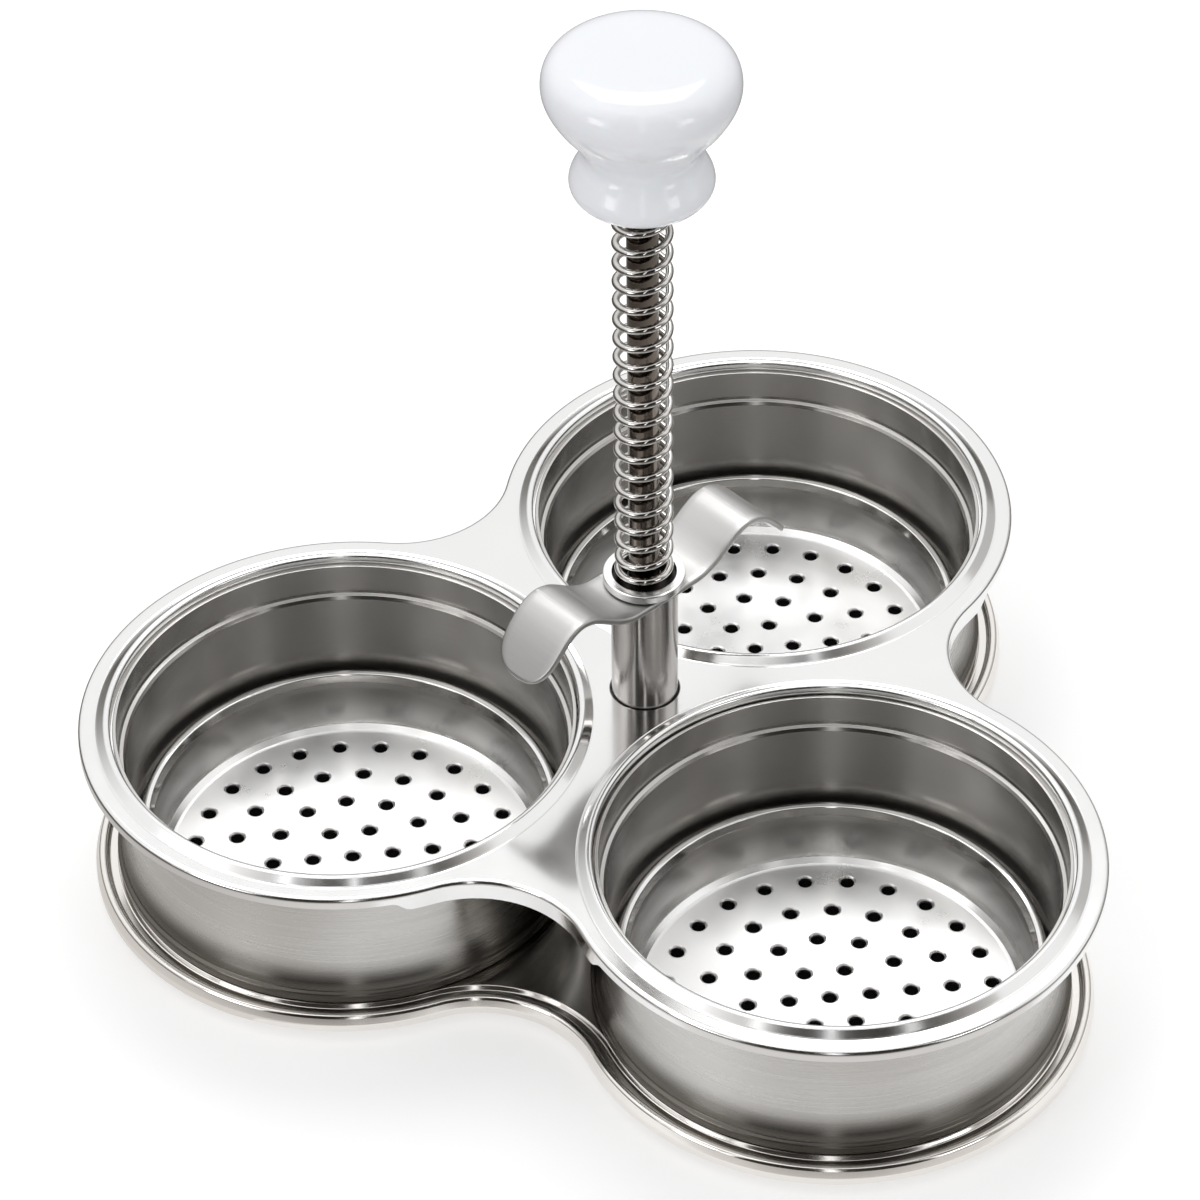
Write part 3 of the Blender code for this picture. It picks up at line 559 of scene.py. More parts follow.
def map_round(bm, layer, loops, profile, closed=True):
    """Faces between the loops of a turned profile, with the finish map running round and along it."""
    turns = len(loops[0])
    round_length = 2 * pi * max(radius for radius, height in profile) / turns
    run = 0.0
    for k in range(len(loops) if closed else len(loops) - 1):
        loop, following = loops[k], loops[(k + 1) % len(loops)]
        here, there = profile[k], profile[(k + 1) % len(profile)]
        end = run + hypot(there[0] - here[0], there[1] - here[1])
        for i in range(turns):
            j = (i + 1) % turns
            face = bm.faces.new((loop[i], loop[j], following[j], following[i]))
            for corner, place in zip(face.loops, ((i, run), (i + 1, run), (i + 1, end), (i, end))):
                corner[layer].uv = (place[0] * round_length, place[1])
        run = end


def turned(name, profile, finish, centre=rod_axis, turns=cup_turns, sharp=SHARP):
    """Closed profile of (radius, height) turned about an upright axis, its finish map running round."""
    bm = bmesh.new()
    layer = bm.loops.layers.uv.new("finish")
    map_round(bm, layer, circle_chain(bm, profile, centre, turns), profile)
    return finished(name, bm, finish, sharp)


def grow(item, tree, values):
    """Run a geometry node group on an object with these input values and keep its result as the mesh."""
    modifier = item.modifiers.new(tree.name, "NODES")
    modifier.node_group = tree
    for socket in tree.interface.items_tree:
        if socket.in_out == "INPUT" and socket.name in values:
            modifier[socket.identifier] = values[socket.name]
    bpy.context.view_layer.update()
    graph = bpy.context.evaluated_depsgraph_get()
    mesh = bpy.data.meshes.new_from_object(item.evaluated_get(graph), preserve_all_data_layers=True,
                                           depsgraph=graph)
    item.modifiers.remove(modifier)
    item.data = mesh


dish_rim_radius, dish_rim_height, dish_curl = 38.5 * MM, 12.8 * MM, 1.4 * MM
dish_mouth_radius, dish_waist_radius, dish_floor_radius = 36.9 * MM, 36.7 * MM, 33.0 * MM
dish_sheet, dish_fillet, floor_edge = 0.8 * MM, 3.1 * MM, 1.5 * MM
ridge_width, ridge_height, ridge_gap = 1.2 * MM, 0.8 * MM, 0.3 * MM
hole_radius, hole_rings, hole_pitch, hole_lip, hole_sides = 1.25 * MM, 4, 7.4 * MM, 0.4 * MM, 24
dish_inner_waist = dish_waist_radius - dish_sheet
dish_inner_mouth = dish_mouth_radius - dish_sheet
above_tray, below_tray = tray_top + ridge_gap, tray_under_top - ridge_gap
dish_profile = rounded([
    (dish_floor_radius - floor_edge, dish_sheet, 0),
    (dish_inner_waist - 0.4 * MM, dish_sheet, 5.6 * MM),
    (dish_inner_waist, dish_sheet + 3 * dish_fillet, 4.0 * MM),
    (dish_inner_mouth, dish_rim_height - 1.6 * MM, 1.2 * MM),
    (dish_inner_mouth + 0.75 * MM, dish_rim_height - 0.15 * MM, 0.35 * MM),
    (dish_rim_radius - 0.7 * MM, dish_rim_height + 0.1 * MM, 0.6 * MM),
    (dish_rim_radius, dish_rim_height - 0.5 * MM, 0.4 * MM),
    (dish_rim_radius, dish_rim_height - dish_curl, 0.4 * MM),
    (dish_waist_radius + 0.2 * MM, dish_rim_height - dish_curl, 0.2 * MM),
    (dish_waist_radius, above_tray + 2 * ridge_height, 0),
    (dish_waist_radius + ridge_width, above_tray + ridge_height, 0.3 * MM),
    (dish_waist_radius + ridge_width, above_tray, 0.15 * MM),
    (dish_waist_radius, above_tray, 0),
    (dish_waist_radius, below_tray, 0),
    (dish_waist_radius + ridge_width, below_tray, 0.15 * MM),
    (dish_waist_radius + 0.1 * MM, below_tray - 2 * ridge_height, 1.2 * MM),
    (dish_floor_radius, 0, 1.5 * MM),
    (dish_floor_radius - floor_edge, 0, 0)], closed=False)
# Painted light and shade: the wall's steel is a dark grey for the shade inside the cup, and painted near white
# towards its foot, fading out by 9.5 mm
dish_wall_painted_light_finish = brushed_steel("brushed_dish_wall_painted_light", (0.37, 0.36, 0.345), 0.23,
                                 painted_foot_light=((0.96, 0.955, 0.945), 1.6 * MM, 9.5 * MM))
dish_rim_finish = polished_steel("polished_dish_rim", (0.88, 0.875, 0.865), 0.07)
dish_floor_finish = polished_steel("polished_dish_floor", (0.97, 0.97, 0.965), 0.31, sag=0.004)

# Punched holes: a point in the dish's middle and rings of 6, 12, 18 and so on round it, each with the
# wall of a hole whose upper edge the punch has drawn down
punch, given = node_group("punched_holes", "GeometryNodeTree", {
    "Geometry": "Geometry", "Rings": "Int", "Ring Pitch": "Float", "Hole Radius": "Float", "Lip": "Float",
    "Sheet": "Float", "Sides": "Int"}, {"Geometry": "Geometry"})
rings, hole, lip, sheet = (given[name] for name in ("Rings", "Hole Radius", "Lip", "Sheet"))


def round_place(tree, radius, angle, height):
    """Place at a radius and an angle round an upright axis."""
    return wire(tree, "CombineXYZ", {0: radius * angle.step("COSINE"), 1: radius * angle.step("SINE"),
                                     2: height})


# With n rings there are 3n(n + 1) + 1 holes, so a hole's ring follows from its number by a square root
index = Amount(punch, wire(punch, "GeometryNodeInputIndex", {}))
ring_reached = ((index * 12.0 + 9.0).step("SQRT") - 3.0) / 6.0
ring_number = (ring_reached - 0.0001).step("CEIL")
in_ring = index - 1.0 - ring_number * (ring_number - 1.0) * 3.0
hole_angle = in_ring / (ring_number * 6.0) * (2 * pi)
hole_place = round_place(punch, ring_number * given["Ring Pitch"], hole_angle, sheet * 0.5)
punch_points = wire(punch, "GeometryNodePoints", {"Count": rings * (rings + 1.0) * 3.0 + 1.0,
                                                  "Position": hole_place})
hole_wall = wire(punch, "GeometryNodeMeshCylinder", {
    "Vertices": given["Sides"], "Side Segments": 9, "Radius": hole, "Depth": sheet}, fill_type="NONE")
wall_x, wall_y, wall_z = (Amount(punch, socket) for socket in wire(punch, "SeparateXYZ", {
    0: wire(punch, "GeometryNodeInputPosition", {})}).outputs)
lip_share = ((wall_z - (sheet * 0.5 - lip)) / lip).step("MAXIMUM", 0.0)
flare = lip_share ** 2.2 * lip / hole + 1.0
flared = wire(punch, "CombineXYZ", {0: wall_x * flare, 1: wall_y * flare, 2: wall_z})
drawn_wall = wire(punch, "GeometryNodeSetPosition", {"Geometry": hole_wall, "Position": flared})
walls = wire(punch, "GeometryNodeInstanceOnPoints", {"Points": punch_points, "Instance": drawn_wall})
realized = wire(punch, "GeometryNodeRealizeInstances", {"Geometry": walls})
painted = wire(punch, "GeometryNodeSetMaterial", {"Geometry": realized, "Material": dish_floor_finish})
wire(punch, "NodeGroupOutput", {"Geometry": painted})
holes = link_object("hole_walls", bpy.data.meshes.new("hole_walls"))
grow(holes, punch, {"Rings": hole_rings, "Ring Pitch": hole_pitch, "Hole Radius": hole_radius,
                    "Lip": hole_lip, "Sheet": dish_sheet, "Sides": hole_sides})

# The wall is turned, and the floor's two faces are filled between it and the hole walls
bm = bmesh.new()
layer = bm.loops.layers.uv.new("finish")
bm.from_mesh(holes.data)
bpy.data.objects.remove(holes)
map_round(bm, layer, circle_chain(bm, dish_profile, Vector((0, 0, 0))), dish_profile, False)
rims = [edge for edge in bm.edges if edge.is_boundary]
for level in (0, dish_sheet):
    bmesh.ops.triangle_fill(bm, use_beauty=True, use_dissolve=False, edges=[
        edge for edge in rims if all(abs(vert.co.z - level) < 0.02 * MM for vert in edge.verts)])
punched = finished("punched_dish", bm, dish_wall_painted_light_finish, radians(30))
punched.data.materials.append(dish_floor_finish)
punched.data.materials.append(dish_rim_finish)
finish_map = punched.data.uv_layers["finish"].data
bright_floor_radius, bright_floor_height = dish_floor_radius + 1.8 * MM, dish_sheet + 1.4 * MM
bright_rim_height = dish_rim_height - 1.5 * MM
for face in punched.data.polygons:
    reach = hypot(face.center.x, face.center.y)
    if face.center.z < bright_floor_height and reach < bright_floor_radius:
        face.material_index = 1
        for loop in face.loop_indices:
            finish_map[loop].uv = punched.data.vertices[punched.data.loops[loop].vertex_index].co.xy
    elif face.center.z > bright_rim_height:
        face.material_index = 2
for side, centre in cup_centres.items():
    mesh = punched.data.copy()
    mesh.transform(Matrix.Translation(centre))
    fitted(link_object("punched_dish_" + side, mesh), "dish_" + side)
bpy.data.objects.remove(punched)

# The rod is bright drawn steel, clamped to the tray between a hexagon nut with a washer below and a
# taller nut above. The nuts are zinc-plated and have turned corners.
# Painted shade: the rod's steel is a dark brown, for the shade it stands in inside the spring
rod_painted_shade_finish = polished_steel("drawn_steel_painted_shade", (0.19, 0.162, 0.14), 0.10, wave=0.004 * MM,
                              wave_size=5 * MM)
zinc_finish = polished_steel("zinc_plated_steel", (0.63, 0.63, 0.61), 0.34)


def bushing(name, node, inner, outer, finish, edge=0.2 * MM, body="stand", turns=shaft_turns):
    """Plain turned sleeve or washer with eased edges, between the heights of the node it stands for."""
    low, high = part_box(node)
    profile = rounded([(inner, low.z, edge), (outer, low.z, edge), (outer, high.z, edge),
                       (inner, high.z, edge)], steps=3)
    fitted(turned(name, profile, finish, turns=turns), node, body)


pole = 0.01 * MM
rod_radius, rod_edge = 2.75 * MM, 0.4 * MM
bore_radius = rod_radius + 0.3 * MM
rod_profile = rounded([(pole, rod_low.z, 0), (rod_radius, rod_low.z, rod_edge),
                       (rod_radius, rod_high.z, rod_edge), (pole, rod_high.z, 0)], steps=3)
fitted(turned("bright_rod", rod_profile, rod_painted_shade_finish, turns=shaft_turns), "rod")
bushing("foot_washer", "base_washer", bore_radius, 5.4 * MM, zinc_finish, 0.15 * MM)
nut_half_width, nut_corner_cut, nut_sink, nut_side_steps = 4.0 * MM, 0.45 * MM, 0.35 * MM, 8


def hexagon_nut(name, node):
    """Hexagon nut whose corners are turned off at both faces, with a countersunk bore."""
    low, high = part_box(node)
    corner = nut_half_width / cos(pi / 6)
    sides = 6 * nut_side_steps
    outline = []
    for i in range(sides):
        angle = 2 * pi * i / sides
        from_middle = (angle + pi / 6) % (pi / 3) - pi / 6
        outline.append((angle + pi / 6, nut_half_width / cos(from_middle)))
    bm = bmesh.new()
    levels = []
    for height, limit in ((low.z, corner - nut_corner_cut), (low.z + nut_corner_cut * 0.6, corner),
                          (high.z - nut_corner_cut * 0.6, corner), (high.z, corner - nut_corner_cut)):
        levels.append(add_loop(bm, [(rod_axis.x + min(reach, limit) * cos(angle),
                                     rod_axis.y + min(reach, limit) * sin(angle), height)
                                    for angle, reach in outline]))
    inner = circle_chain(bm, [(bore_radius + nut_sink, low.z), (bore_radius, low.z + nut_sink),
                              (bore_radius, high.z - nut_sink), (bore_radius + nut_sink, high.z)],
                         rod_axis, sides)
    bridge_chain(bm, levels)
    bridge_chain(bm, inner)
    fill(bm, [levels[0], inner[0]])
    fill(bm, [levels[-1], inner[-1]])
    fitted(finished(name, bm, zinc_finish, radians(25)), node)


hexagon_nut("foot_nut", "base_nut")
hexagon_nut("tray_nut", "clamp_nut")

# The three rings stand round the dishes. Each is an open band brushed round: a neck that fits under
# the plate's bead, a ledge, a straight wall, and a foot that flares out to a bright rolled bead.
ring_sheet, ring_radius, ring_neck_radius, ring_foot_radius = 0.7 * MM, 39.9 * MM, 41.2 * MM, 42.9 * MM
ring_low, ring_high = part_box("ring_left")
foot = ring_low.z
ring_wall = ring_radius + ring_sheet
ring_ledge = plate_height - 6.4 * MM
under_ledge = ring_ledge - ring_sheet
flare_radius, flare_top = 11.5 * MM, foot + 8.9 * MM
flare_angles = [radians(a) for a in range(0, 31, 5)]
# Painted reflection: the outer wall is painted dark brown just above the foot, for the tray's dark channel seen in it
ring_finish = brushed_steel("brushed_ring_steel", (0.66, 0.648, 0.63), 0.28, groove=0.0004 * MM,
                            painted_foot_light=((0.15, 0.14, 0.125), foot + 3.0 * MM, foot + 9.0 * MM))
# Painted shade: the ring's inner side is the same steel in a darker grey, for the shade inside the cup
ring_inner_shade_finish = brushed_steel("brushed_ring_inner_painted_shade", (0.40, 0.388, 0.37), 0.21)
ring_profile = rounded([
    (ring_neck_radius, ring_high.z, 0.15 * MM), (ring_neck_radius + ring_sheet, ring_high.z, 0.25 * MM),
    (ring_neck_radius + ring_sheet, under_ledge - 1.1 * MM, 0.5 * MM),
    (ring_wall, under_ledge - 1.9 * MM, 0.5 * MM),
    *((ring_wall + flare_radius * (1 - cos(a)), flare_top - flare_radius * sin(a), 0) for a in flare_angles),
    (ring_foot_radius - 0.7 * MM, foot + 2.5 * MM, 0.25 * MM),
    (ring_foot_radius, foot + 2.1 * MM, 0.45 * MM),
    (ring_foot_radius, foot + 0.5 * MM, 0.5 * MM),
    (ring_foot_radius - 0.6 * MM, foot, 0.3 * MM),
    (ring_foot_radius - 1.6 * MM, foot, 0.3 * MM),
    (ring_foot_radius - 2.2 * MM, foot + 2.2 * MM, 1.4 * MM),
    (ring_radius, foot + 5.4 * MM, 3.0 * MM),
    (ring_radius, ring_ledge - 1.3 * MM, 0.25 * MM),
    (ring_radius + 0.45 * MM, ring_ledge - 0.75 * MM, 0.12 * MM),
    (ring_neck_radius - 0.2 * MM, ring_ledge - 0.55 * MM, 0.12 * MM),
    (ring_neck_radius, ring_ledge, 0.2 * MM)])
for side, centre in cup_centres.items():
    ring = turned("brushed_ring_" + side, ring_profile, ring_finish, centre)
    ring.data.materials.append(ring_inner_shade_finish)
    # Faces that look inwards take the darker, painted-shade copy of the steel
    for face in ring.data.polygons:
        face.material_index = int(face.normal.dot(face.center - centre) < 0)
    fitted(ring, "ring_" + side, "lifter")

# The top plate is a pressed trefoil of polished steel that carries the rings. Its edge is turned down,
# deeper along the hollow waists, and a round bead stands up about each opening.
plate_finish = polished_steel("polished_plate_steel", (0.88, 0.878, 0.872), 0.14)
plate_lobe_radius, plate_waist_radius = 48.0 * MM, 20.0 * MM
plate_sheet, plate_skirt, plate_waist_skirt, plate_turn = 0.8 * MM, 2.1 * MM, 4.0 * MM, 2 * MM
plate_under = plate_height - plate_sheet
collar_radius, collar_foot = 42.2 * MM, plate_height - 1.6 * MM
bead_rise, bead_foot = 1.15 * MM, collar_radius + 2.7 * MM
tube_hole_radius, tube_hole_flat, tube_hole_turns = 6.3 * MM, 7.0 * MM, 64
edge_profile = rounded([(1.9 * MM, 0, 0), (0, 0, 1.3 * MM), (0, plate_turn, 0)], steps=8, closed=False)
under_profile = rounded([(plate_sheet, plate_turn, 0), (plate_sheet, plate_sheet, 0.5 * MM),
                         (3.0 * MM, plate_sheet, 0)], closed=False)


def plate_loop(bm, inset, drop, skirt=False):
    """Loop of the plate's edge, at the skirt's foot where skirt is true."""
    points = []
    for x, y, waist in trefoil(plate_lobe_radius, plate_waist_radius, inset):
        depth = plate_skirt + (plate_waist_skirt - plate_skirt) * waist if skirt else drop
        points.append((x, y, plate_height - depth))
    return add_loop(bm, points)


bm = bmesh.new()
edge = [plate_loop(bm, inset, drop) for inset, drop in edge_profile[:-1]]
edge += [plate_loop(bm, 0, 0, True), plate_loop(bm, plate_sheet, 0, True)]
edge += [plate_loop(bm, inset, drop) for inset, drop in under_profile[1:]]
bridge_chain(bm, edge)
bead_profile = rounded([
    (bead_foot + 0.7 * MM, plate_height, 0), (bead_foot + 0.3 * MM, plate_height, 0.2 * MM),
    (bead_foot + 0.04 * MM, plate_height - 0.10 * MM, 0.25 * MM),
    (bead_foot - 0.3 * MM, plate_height + 0.12 * MM, 0.4 * MM),
    (collar_radius + 0.95 * MM, plate_height + bead_rise, 0.9 * MM),
    (collar_radius + 0.06 * MM, plate_height + bead_rise * 0.80, 0.9 * MM),
    (collar_radius, collar_foot, 0.1 * MM), (collar_radius + plate_sheet, collar_foot, 0.1 * MM),
    (collar_radius + plate_sheet, plate_under, 0.2 * MM),
    (collar_radius + plate_sheet + 0.8 * MM, plate_under, 0)], steps=7, closed=False)
openings = [circle_chain(bm, bead_profile, centre) for centre in cup_centres.values()]
tube_hole = rounded([(tube_hole_flat, plate_height, 0), (tube_hole_radius, plate_height, 0.2 * MM),
                     (tube_hole_radius, plate_under, 0.1 * MM), (tube_hole_flat, plate_under, 0)],
                    steps=3, closed=False)
openings.append(circle_chain(bm, tube_hole, rod_axis, tube_hole_turns))
for chain in openings:
    bridge_chain(bm, chain)
fill(bm, [edge[0]] + [chain[0] for chain in openings])
fill(bm, [edge[-1]] + [chain[-1] for chain in openings])
fitted(finished("polished_top_plate", bm, plate_finish), "top_plate", "lifter")

# The tube slides on the rod. It is drawn stainless tube, brushed lightly round, fixed to the plate by
# a collar below, with a nylon bush in its lower end.
tube_finish = brushed_steel("brushed_tube_steel", (0.52, 0.50, 0.485), 0.2, anisotropy=0.8,
                            line_length=14 * MM, line_width=0.12 * MM)
nylon_finish = new_material("natural_nylon")
nylon_tree = nylon_finish.node_tree
nylon_grain = noise(nylon_tree, object_place(nylon_tree), 1 / (0.6 * MM), 3.0)
shaded(nylon_tree, (0.80, 0.79, 0.74, 1), ramp(nylon_tree, nylon_grain, 0.0, 1.0, 0.38, 0.55),
       nylon_grain, 0.02 * MM, 0.6)
tube_radius, tube_wall, tube_turns = 6.0 * MM, 0.8 * MM, 72
bushing("drawn_guide_tube", "guide_tube", tube_radius - tube_wall, tube_radius, tube_finish,
        0.2 * MM, "lifter", tube_turns)
bushing("plate_collar", "tube_flange", tube_hole_radius, 9.0 * MM, zinc_finish, 0.25 * MM,
        "lifter", tube_hole_turns)
bush_low, bush_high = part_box("lower_bush")
sleeve_radius = tube_radius - tube_wall - 0.3 * MM
bush_head = bush_low.z + 1 * MM
bush_profile = rounded([(bore_radius, bush_low.z, 0.2 * MM), (tube_radius, bush_low.z, 0.3 * MM),
                        (tube_radius, bush_head, 0.2 * MM), (sleeve_radius, bush_head, 0.1 * MM),
                        (sleeve_radius, bush_high.z, 0.3 * MM), (bore_radius, bush_high.z, 0.2 * MM)],
                       steps=3)
fitted(turned("nylon_bush", bush_profile, nylon_finish, turns=shaft_turns), "lower_bush",
       "lifter")

# The finger grip is a strip of satin steel, brushed across and bent like a gull's wings: flat on the
# tube, up over two crests and down to blunt tips, which the fingers pull.
grip_azimuth = radians(36)
grip_sheet, grip_edge = 1.2 * MM, 0.38 * MM
grip_half_width, grip_reach, grip_tip, grip_crest = 6.5 * MM, 31.2 * MM, 5.5 * MM, 5.7 * MM
tip_squareness = 2.8
grip_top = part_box("guide_tube")[1].z + 0.3 * MM + grip_sheet
grip_line = Vector((cos(grip_azimuth), sin(grip_azimuth), 0))
grip_side = Vector((-grip_line.y, grip_line.x, 0))
straight_stations, tip_stations, width_steps = 44, 14, 10
GRIP_WING_SHARES = ((0.0, 0.0), (0.22, 0.0), (0.30, 0.07), (0.39, 0.30), (0.48, 0.64), (0.56, 0.90),
                    (0.64, 1.0), (0.71, 0.93), (0.78, 0.70), (0.85, 0.32), (0.91, -0.08),
                    (0.96, -0.44), (1.0, -0.74))


def smooth_through(points, steps):
    """Points of a smooth curve that passes through the given ones."""
    curve = []
    ends = [points[0]] + list(points) + [points[-1]]
    for i in range(1, len(ends) - 2):
        a, b, c, d = (Vector(p) for p in ends[i - 1:i + 3])
        for k in range(steps):
            t = k / steps
            curve.append(((b * 2) + (c - a) * t + (a * 2 - b * 5 + c * 4 - d) * t ** 2
                          + (b * 3 - a - c * 3 + d) * t ** 3) / 2)
    curve.append(Vector(points[-1]))
    return curve


wing_curve = smooth_through([(x * grip_reach, z * grip_crest) for x, z in GRIP_WING_SHARES], 8)


def wing_height(reach):
    for near, far in zip(wing_curve, wing_curve[1:]):
        if far.x >= reach:
            return near.y + (far.y - near.y) * (reach - near.x) / max(far.x - near.x, 1e-9)
    return wing_curve[-1].y


def grip_station(share, inset):
    """(reach, half width) of the strip's outline, set in by inset. The share runs from 0 at the middle
    to 1 where the tip starts, and to 2 at its end."""
    tip_start = grip_reach - grip_tip
    if share <= 1:
        return tip_start * share, grip_half_width - inset
    angle = (share - 1) * pi / 2
    power = 2 / tip_squareness
    return (tip_start + (grip_tip - inset) * sin(angle) ** power,
            (grip_half_width - inset) * max(cos(angle), 0.0) ** power)


def grip_point(reach, offset, depth):
    """Place on the bent strip: along it, across it and below its top face."""
    step = 0.05 * MM
    rise = wing_height(abs(reach) + step) - wing_height(max(abs(reach) - step, 0))
    run = step * 2 if abs(reach) > step else step
    slope = Vector((run, rise)).normalized()
    sign = 1 if reach >= 0 else -1
    inward = Vector((slope.y * sign, -slope.x))
    top = (rod_axis + grip_line * reach + grip_side * offset
           + Vector((0, 0, grip_top + wing_height(abs(reach)))))
    return top + (grip_line * inward.x + Vector((0, 0, 1)) * inward.y) * depth


def grip_section(sign, share):
    """Closed section of the strip at one station: top face, rounded edge, underside, rounded edge."""
    arc = [(grip_edge * (1 - sin(radians(a))), grip_edge * (1 - cos(radians(a)))) for a in (30, 60, 90)]
    edge = arc + [(inset, grip_sheet - depth) for inset, depth in reversed(arc)]
    rounding = [(*grip_station(share, inset), depth) for inset, depth in edge]
    flat_reach, flat_half = grip_station(share, grip_edge)
    across = [flat_half * (1 - 2 * i / width_steps) for i in range(width_steps + 1)]
    section = [(flat_reach, offset, 0) for offset in across]
    section += [(reach, -half, depth) for reach, half, depth in rounding]
    section += [(flat_reach, -offset, grip_sheet) for offset in across]
    section += reversed(rounding)
    return [(sign * reach, offset, depth) for reach, offset, depth in section]


shares = [i / straight_stations for i in range(straight_stations)]
shares += [1 + i / tip_stations for i in range(tip_stations + 1)]
sections = [grip_section(-1, share) for share in reversed(shares[1:])]
sections += [grip_section(1, share) for share in shares]
bm = bmesh.new()
layer = bm.loops.layers.uv.new("finish")
loops = [add_loop(bm, [grip_point(*place) for place in section]) for section in sections]
for first, second, near, far in zip(loops, loops[1:], sections, sections[1:]):
    for i in range(len(first)):
        j = (i + 1) % len(first)
        face = bm.faces.new((first[i], first[j], second[j], second[i]))
        for corner, place in zip(face.loops, (near[i], near[j], far[j], far[i])):
            corner[layer].uv = (place[1], place[0])
bmesh.ops.remove_doubles(bm, verts=bm.verts, dist=0.004 * MM)
bmesh.ops.dissolve_degenerate(bm, edges=bm.edges, dist=0.001 * MM)
grip_finish = brushed_steel("satin_grip_steel", (0.54, 0.535, 0.525), 0.40, anisotropy=0.6,
                            groove=0.002 * MM, line_length=7 * MM, line_width=0.13 * MM)
fitted(finished("satin_finger_grip", bm, grip_finish), "finger_grip", "lifter")

# The spring seat is a polished flanged bush: its sleeve goes through the grip into the tube, and the
# spring's last coil stands in its pocket.
seat_low, seat_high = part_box("spring_seat")
seat_radius, pocket_radius, pocket_depth, seat_height = 7.4 * MM, 5.75 * MM, 0.9 * MM, 1.6 * MM
seat_under, pocket_floor = seat_high.z - seat_height, seat_high.z - pocket_depth
seat_finish = polished_steel("polished_seat_steel", (0.95, 0.95, 0.945), 0.24, wave=0.004 * MM)
# Painted shade: the pocket's faces are near black, for the shadow gap round the spring's last coil
pocket_shade_finish = polished_steel("painted_shade_seat_pocket", (0.035, 0.032, 0.03), 0.3, wave=0.004 * MM)
seat_profile = rounded([
    (bore_radius, seat_low.z, 0.2 * MM), (sleeve_radius, seat_low.z, 0.3 * MM),
    (sleeve_radius, seat_under, 0), (seat_radius, seat_under, 0.2 * MM),
    (seat_radius, seat_high.z, 0.3 * MM), (pocket_radius, seat_high.z, 0.1 * MM),
    (pocket_radius, pocket_floor, 0.15 * MM), (bore_radius, pocket_floor, 0.1 * MM)], steps=4)
seat = turned("polished_spring_seat", seat_profile, seat_finish, turns=tube_turns)
seat.data.materials.append(pocket_shade_finish)
for face in seat.data.polygons:
    from_axis = (face.center - rod_axis).xy.length
    face.material_index = int(face.center.z > seat_under and from_axis < pocket_radius + 0.05 * MM)
fitted(seat, "spring_seat", "lifter")

# The spring is bright hard-drawn wire, coiled evenly, with a close coil at each end. It stands in the
# seat's pocket and pushes up against a washer under the knob.
coil, given = node_group("wound_spring", "GeometryNodeTree", {
    "Geometry": "Geometry", "Coils": "Int", "Steps": "Int", "Coil Radius": "Float", "Wire Radius": "Float",
    "Length": "Float", "End Pitch": "Float", "Foot": "Vector"}, {"Geometry": "Geometry"})
coils, steps, end = (given[name] for name in ("Coils", "Steps", "End Pitch"))
stepped = wire(coil, "GeometryNodeResampleCurve", {
    "Curve": wire(coil, "GeometryNodeCurvePrimitiveLine", {}), "Count": coils * steps + 1.0})
turn_number = Amount(coil, wire(coil, "GeometryNodeInputIndex", {})) / steps
opened = (turn_number - 1.0).step("MAXIMUM", 0.0).step("MINIMUM", coils - 2.0)
pitch = (given["Length"] - end * 2.0) / (coils - 2.0)
coil_place = round_place(coil, given["Coil Radius"], turn_number * (2 * pi),
                         pitch * opened + (turn_number - opened) * end)
stood = wire(coil, "VectorMath", {0: coil_place, 1: given["Foot"]}, operation="ADD")
wound = wire(coil, "GeometryNodeSetPosition", {"Geometry": stepped, "Position": stood})
section = wire(coil, "GeometryNodeCurvePrimitiveCircle", {"Resolution": 14, "Radius": given["Wire Radius"]})
wire_tube = wire(coil, "GeometryNodeCurveToMesh", {"Curve": wound, "Profile Curve": section,
                                                   "Fill Caps": True})
smooth = wire(coil, "GeometryNodeSetShadeSmooth", {"Geometry": wire_tube})
real = wire(coil, "GeometryNodeRealizeInstances", {"Geometry": smooth})
spring_finish = polished_steel("bright_spring_wire", (0.70, 0.685, 0.665), 0.10, wave=0.002 * MM,
                               wave_size=3 * MM)
painted = wire(coil, "GeometryNodeSetMaterial", {"Geometry": real, "Material": spring_finish})
wire(coil, "NodeGroupOutput", {"Geometry": painted})
spring_low, spring_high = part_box("spring")
spring_length = spring_high.z - spring_low.z
wire_radius, coil_radius, coil_count, coil_steps, end_pitch = 0.68 * MM, 4.6 * MM, 21, 40, 1.5 * MM
spring_foot = Vector((rod_axis.x, rod_axis.y, spring_low.z + wire_radius))
spring = link_object("wound_spring", bpy.data.meshes.new("wound_spring"))
grow(spring, coil, {"Coils": coil_count, "Steps": coil_steps, "Coil Radius": coil_radius,
                    "Wire Radius": wire_radius, "Length": spring_length - 2 * wire_radius,
                    "End Pitch": end_pitch, "Foot": spring_foot})
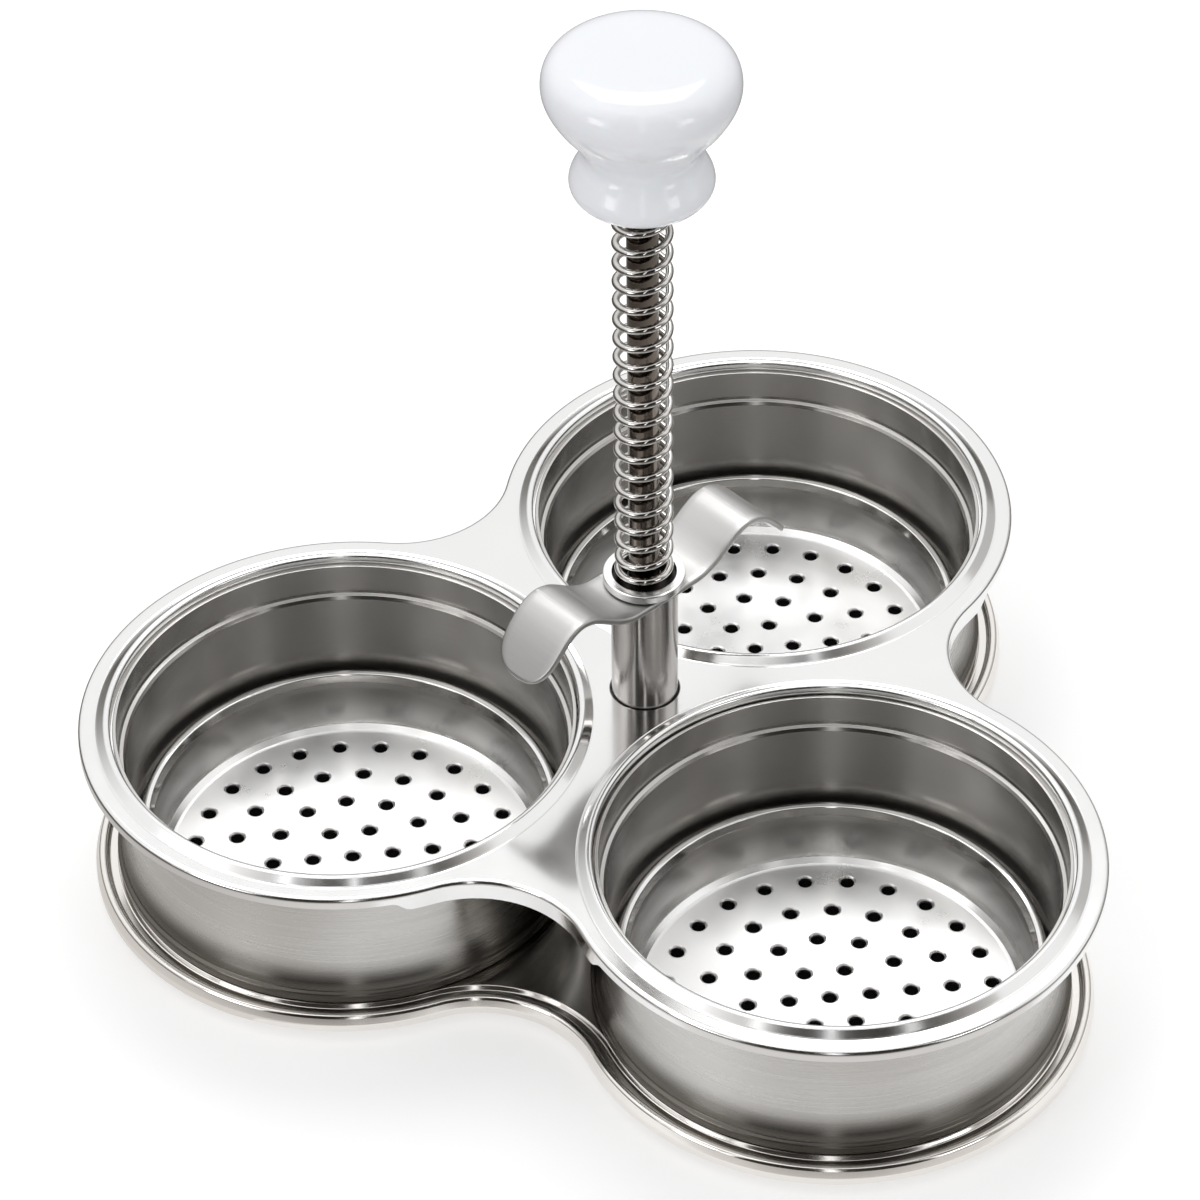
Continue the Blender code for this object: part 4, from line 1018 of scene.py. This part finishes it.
fitted(spring, "spring")
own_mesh(spring)

# The knob is moulded in glossy cool-white plastic round a brass insert that screws on the rod. A thin
# zinc-plated washer lies between it and the spring.
bushing("spring_washer", "spring_cap", bore_radius, 5.8 * MM, zinc_finish)
brass_finish = polished_steel("turned_brass", (0.80, 0.60, 0.28), 0.22)
bushing("brass_insert", "knob_insert", bore_radius, 4.0 * MM, brass_finish)
knob_low, knob_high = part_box("knob")
knob_radius, knob_foot, knob_bore, bore_depth, knob_turns = 16.7 * MM, 8.2 * MM, 4.3 * MM, 13.3 * MM, 96
knob_height = knob_high.z - knob_low.z
KNOB_SHARES = ((0.60, 0.02), (0.68, 0.05), (0.722, 0.085), (0.734, 0.125), (0.713, 0.175),
               (0.66, 0.235), (0.605, 0.285), (0.587, 0.33), (0.611, 0.385), (0.72, 0.475),
               (0.862, 0.585), (0.964, 0.695), (1.0, 0.79), (0.97, 0.885), (0.88, 0.95),
               (0.73, 0.986), (0.48, 1.0), (0.2, 1.0))
knob_outside = smooth_through([(knob_foot, knob_low.z)] + [
    (knob_radius * out, knob_low.z + knob_height * up) for out, up in KNOB_SHARES] + [(pole, knob_high.z)], 6)
bore_end = knob_low.z + bore_depth
knob_inside = [Vector((pole, bore_end)), Vector((knob_bore, bore_end)), Vector((knob_bore, knob_low.z))]
knob_finish = new_material("glossy_white_plastic")
knob_tree = knob_finish.node_tree
knob_place = object_place(knob_tree)
knob_cloud = noise(knob_tree, knob_place, 1 / (9 * MM), 3.0)
knob_tint = blend(knob_tree, knob_cloud, (0.86, 0.872, 0.905, 1), (0.845, 0.858, 0.895, 1))
shaded(knob_tree, knob_tint, ramp(knob_tree, knob_cloud, 0.0, 1.0, 0.07, 0.16),
       noise(knob_tree, knob_place, 1 / (1.6 * MM), 1.0), 0.004 * MM, 0.5, Subsurface_Weight=0.08,
       Subsurface_Scale=1.5 * MM)
knob = turned("moulded_knob", knob_inside + knob_outside, knob_finish, turns=knob_turns)
fitted(knob, "knob")

low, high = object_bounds()
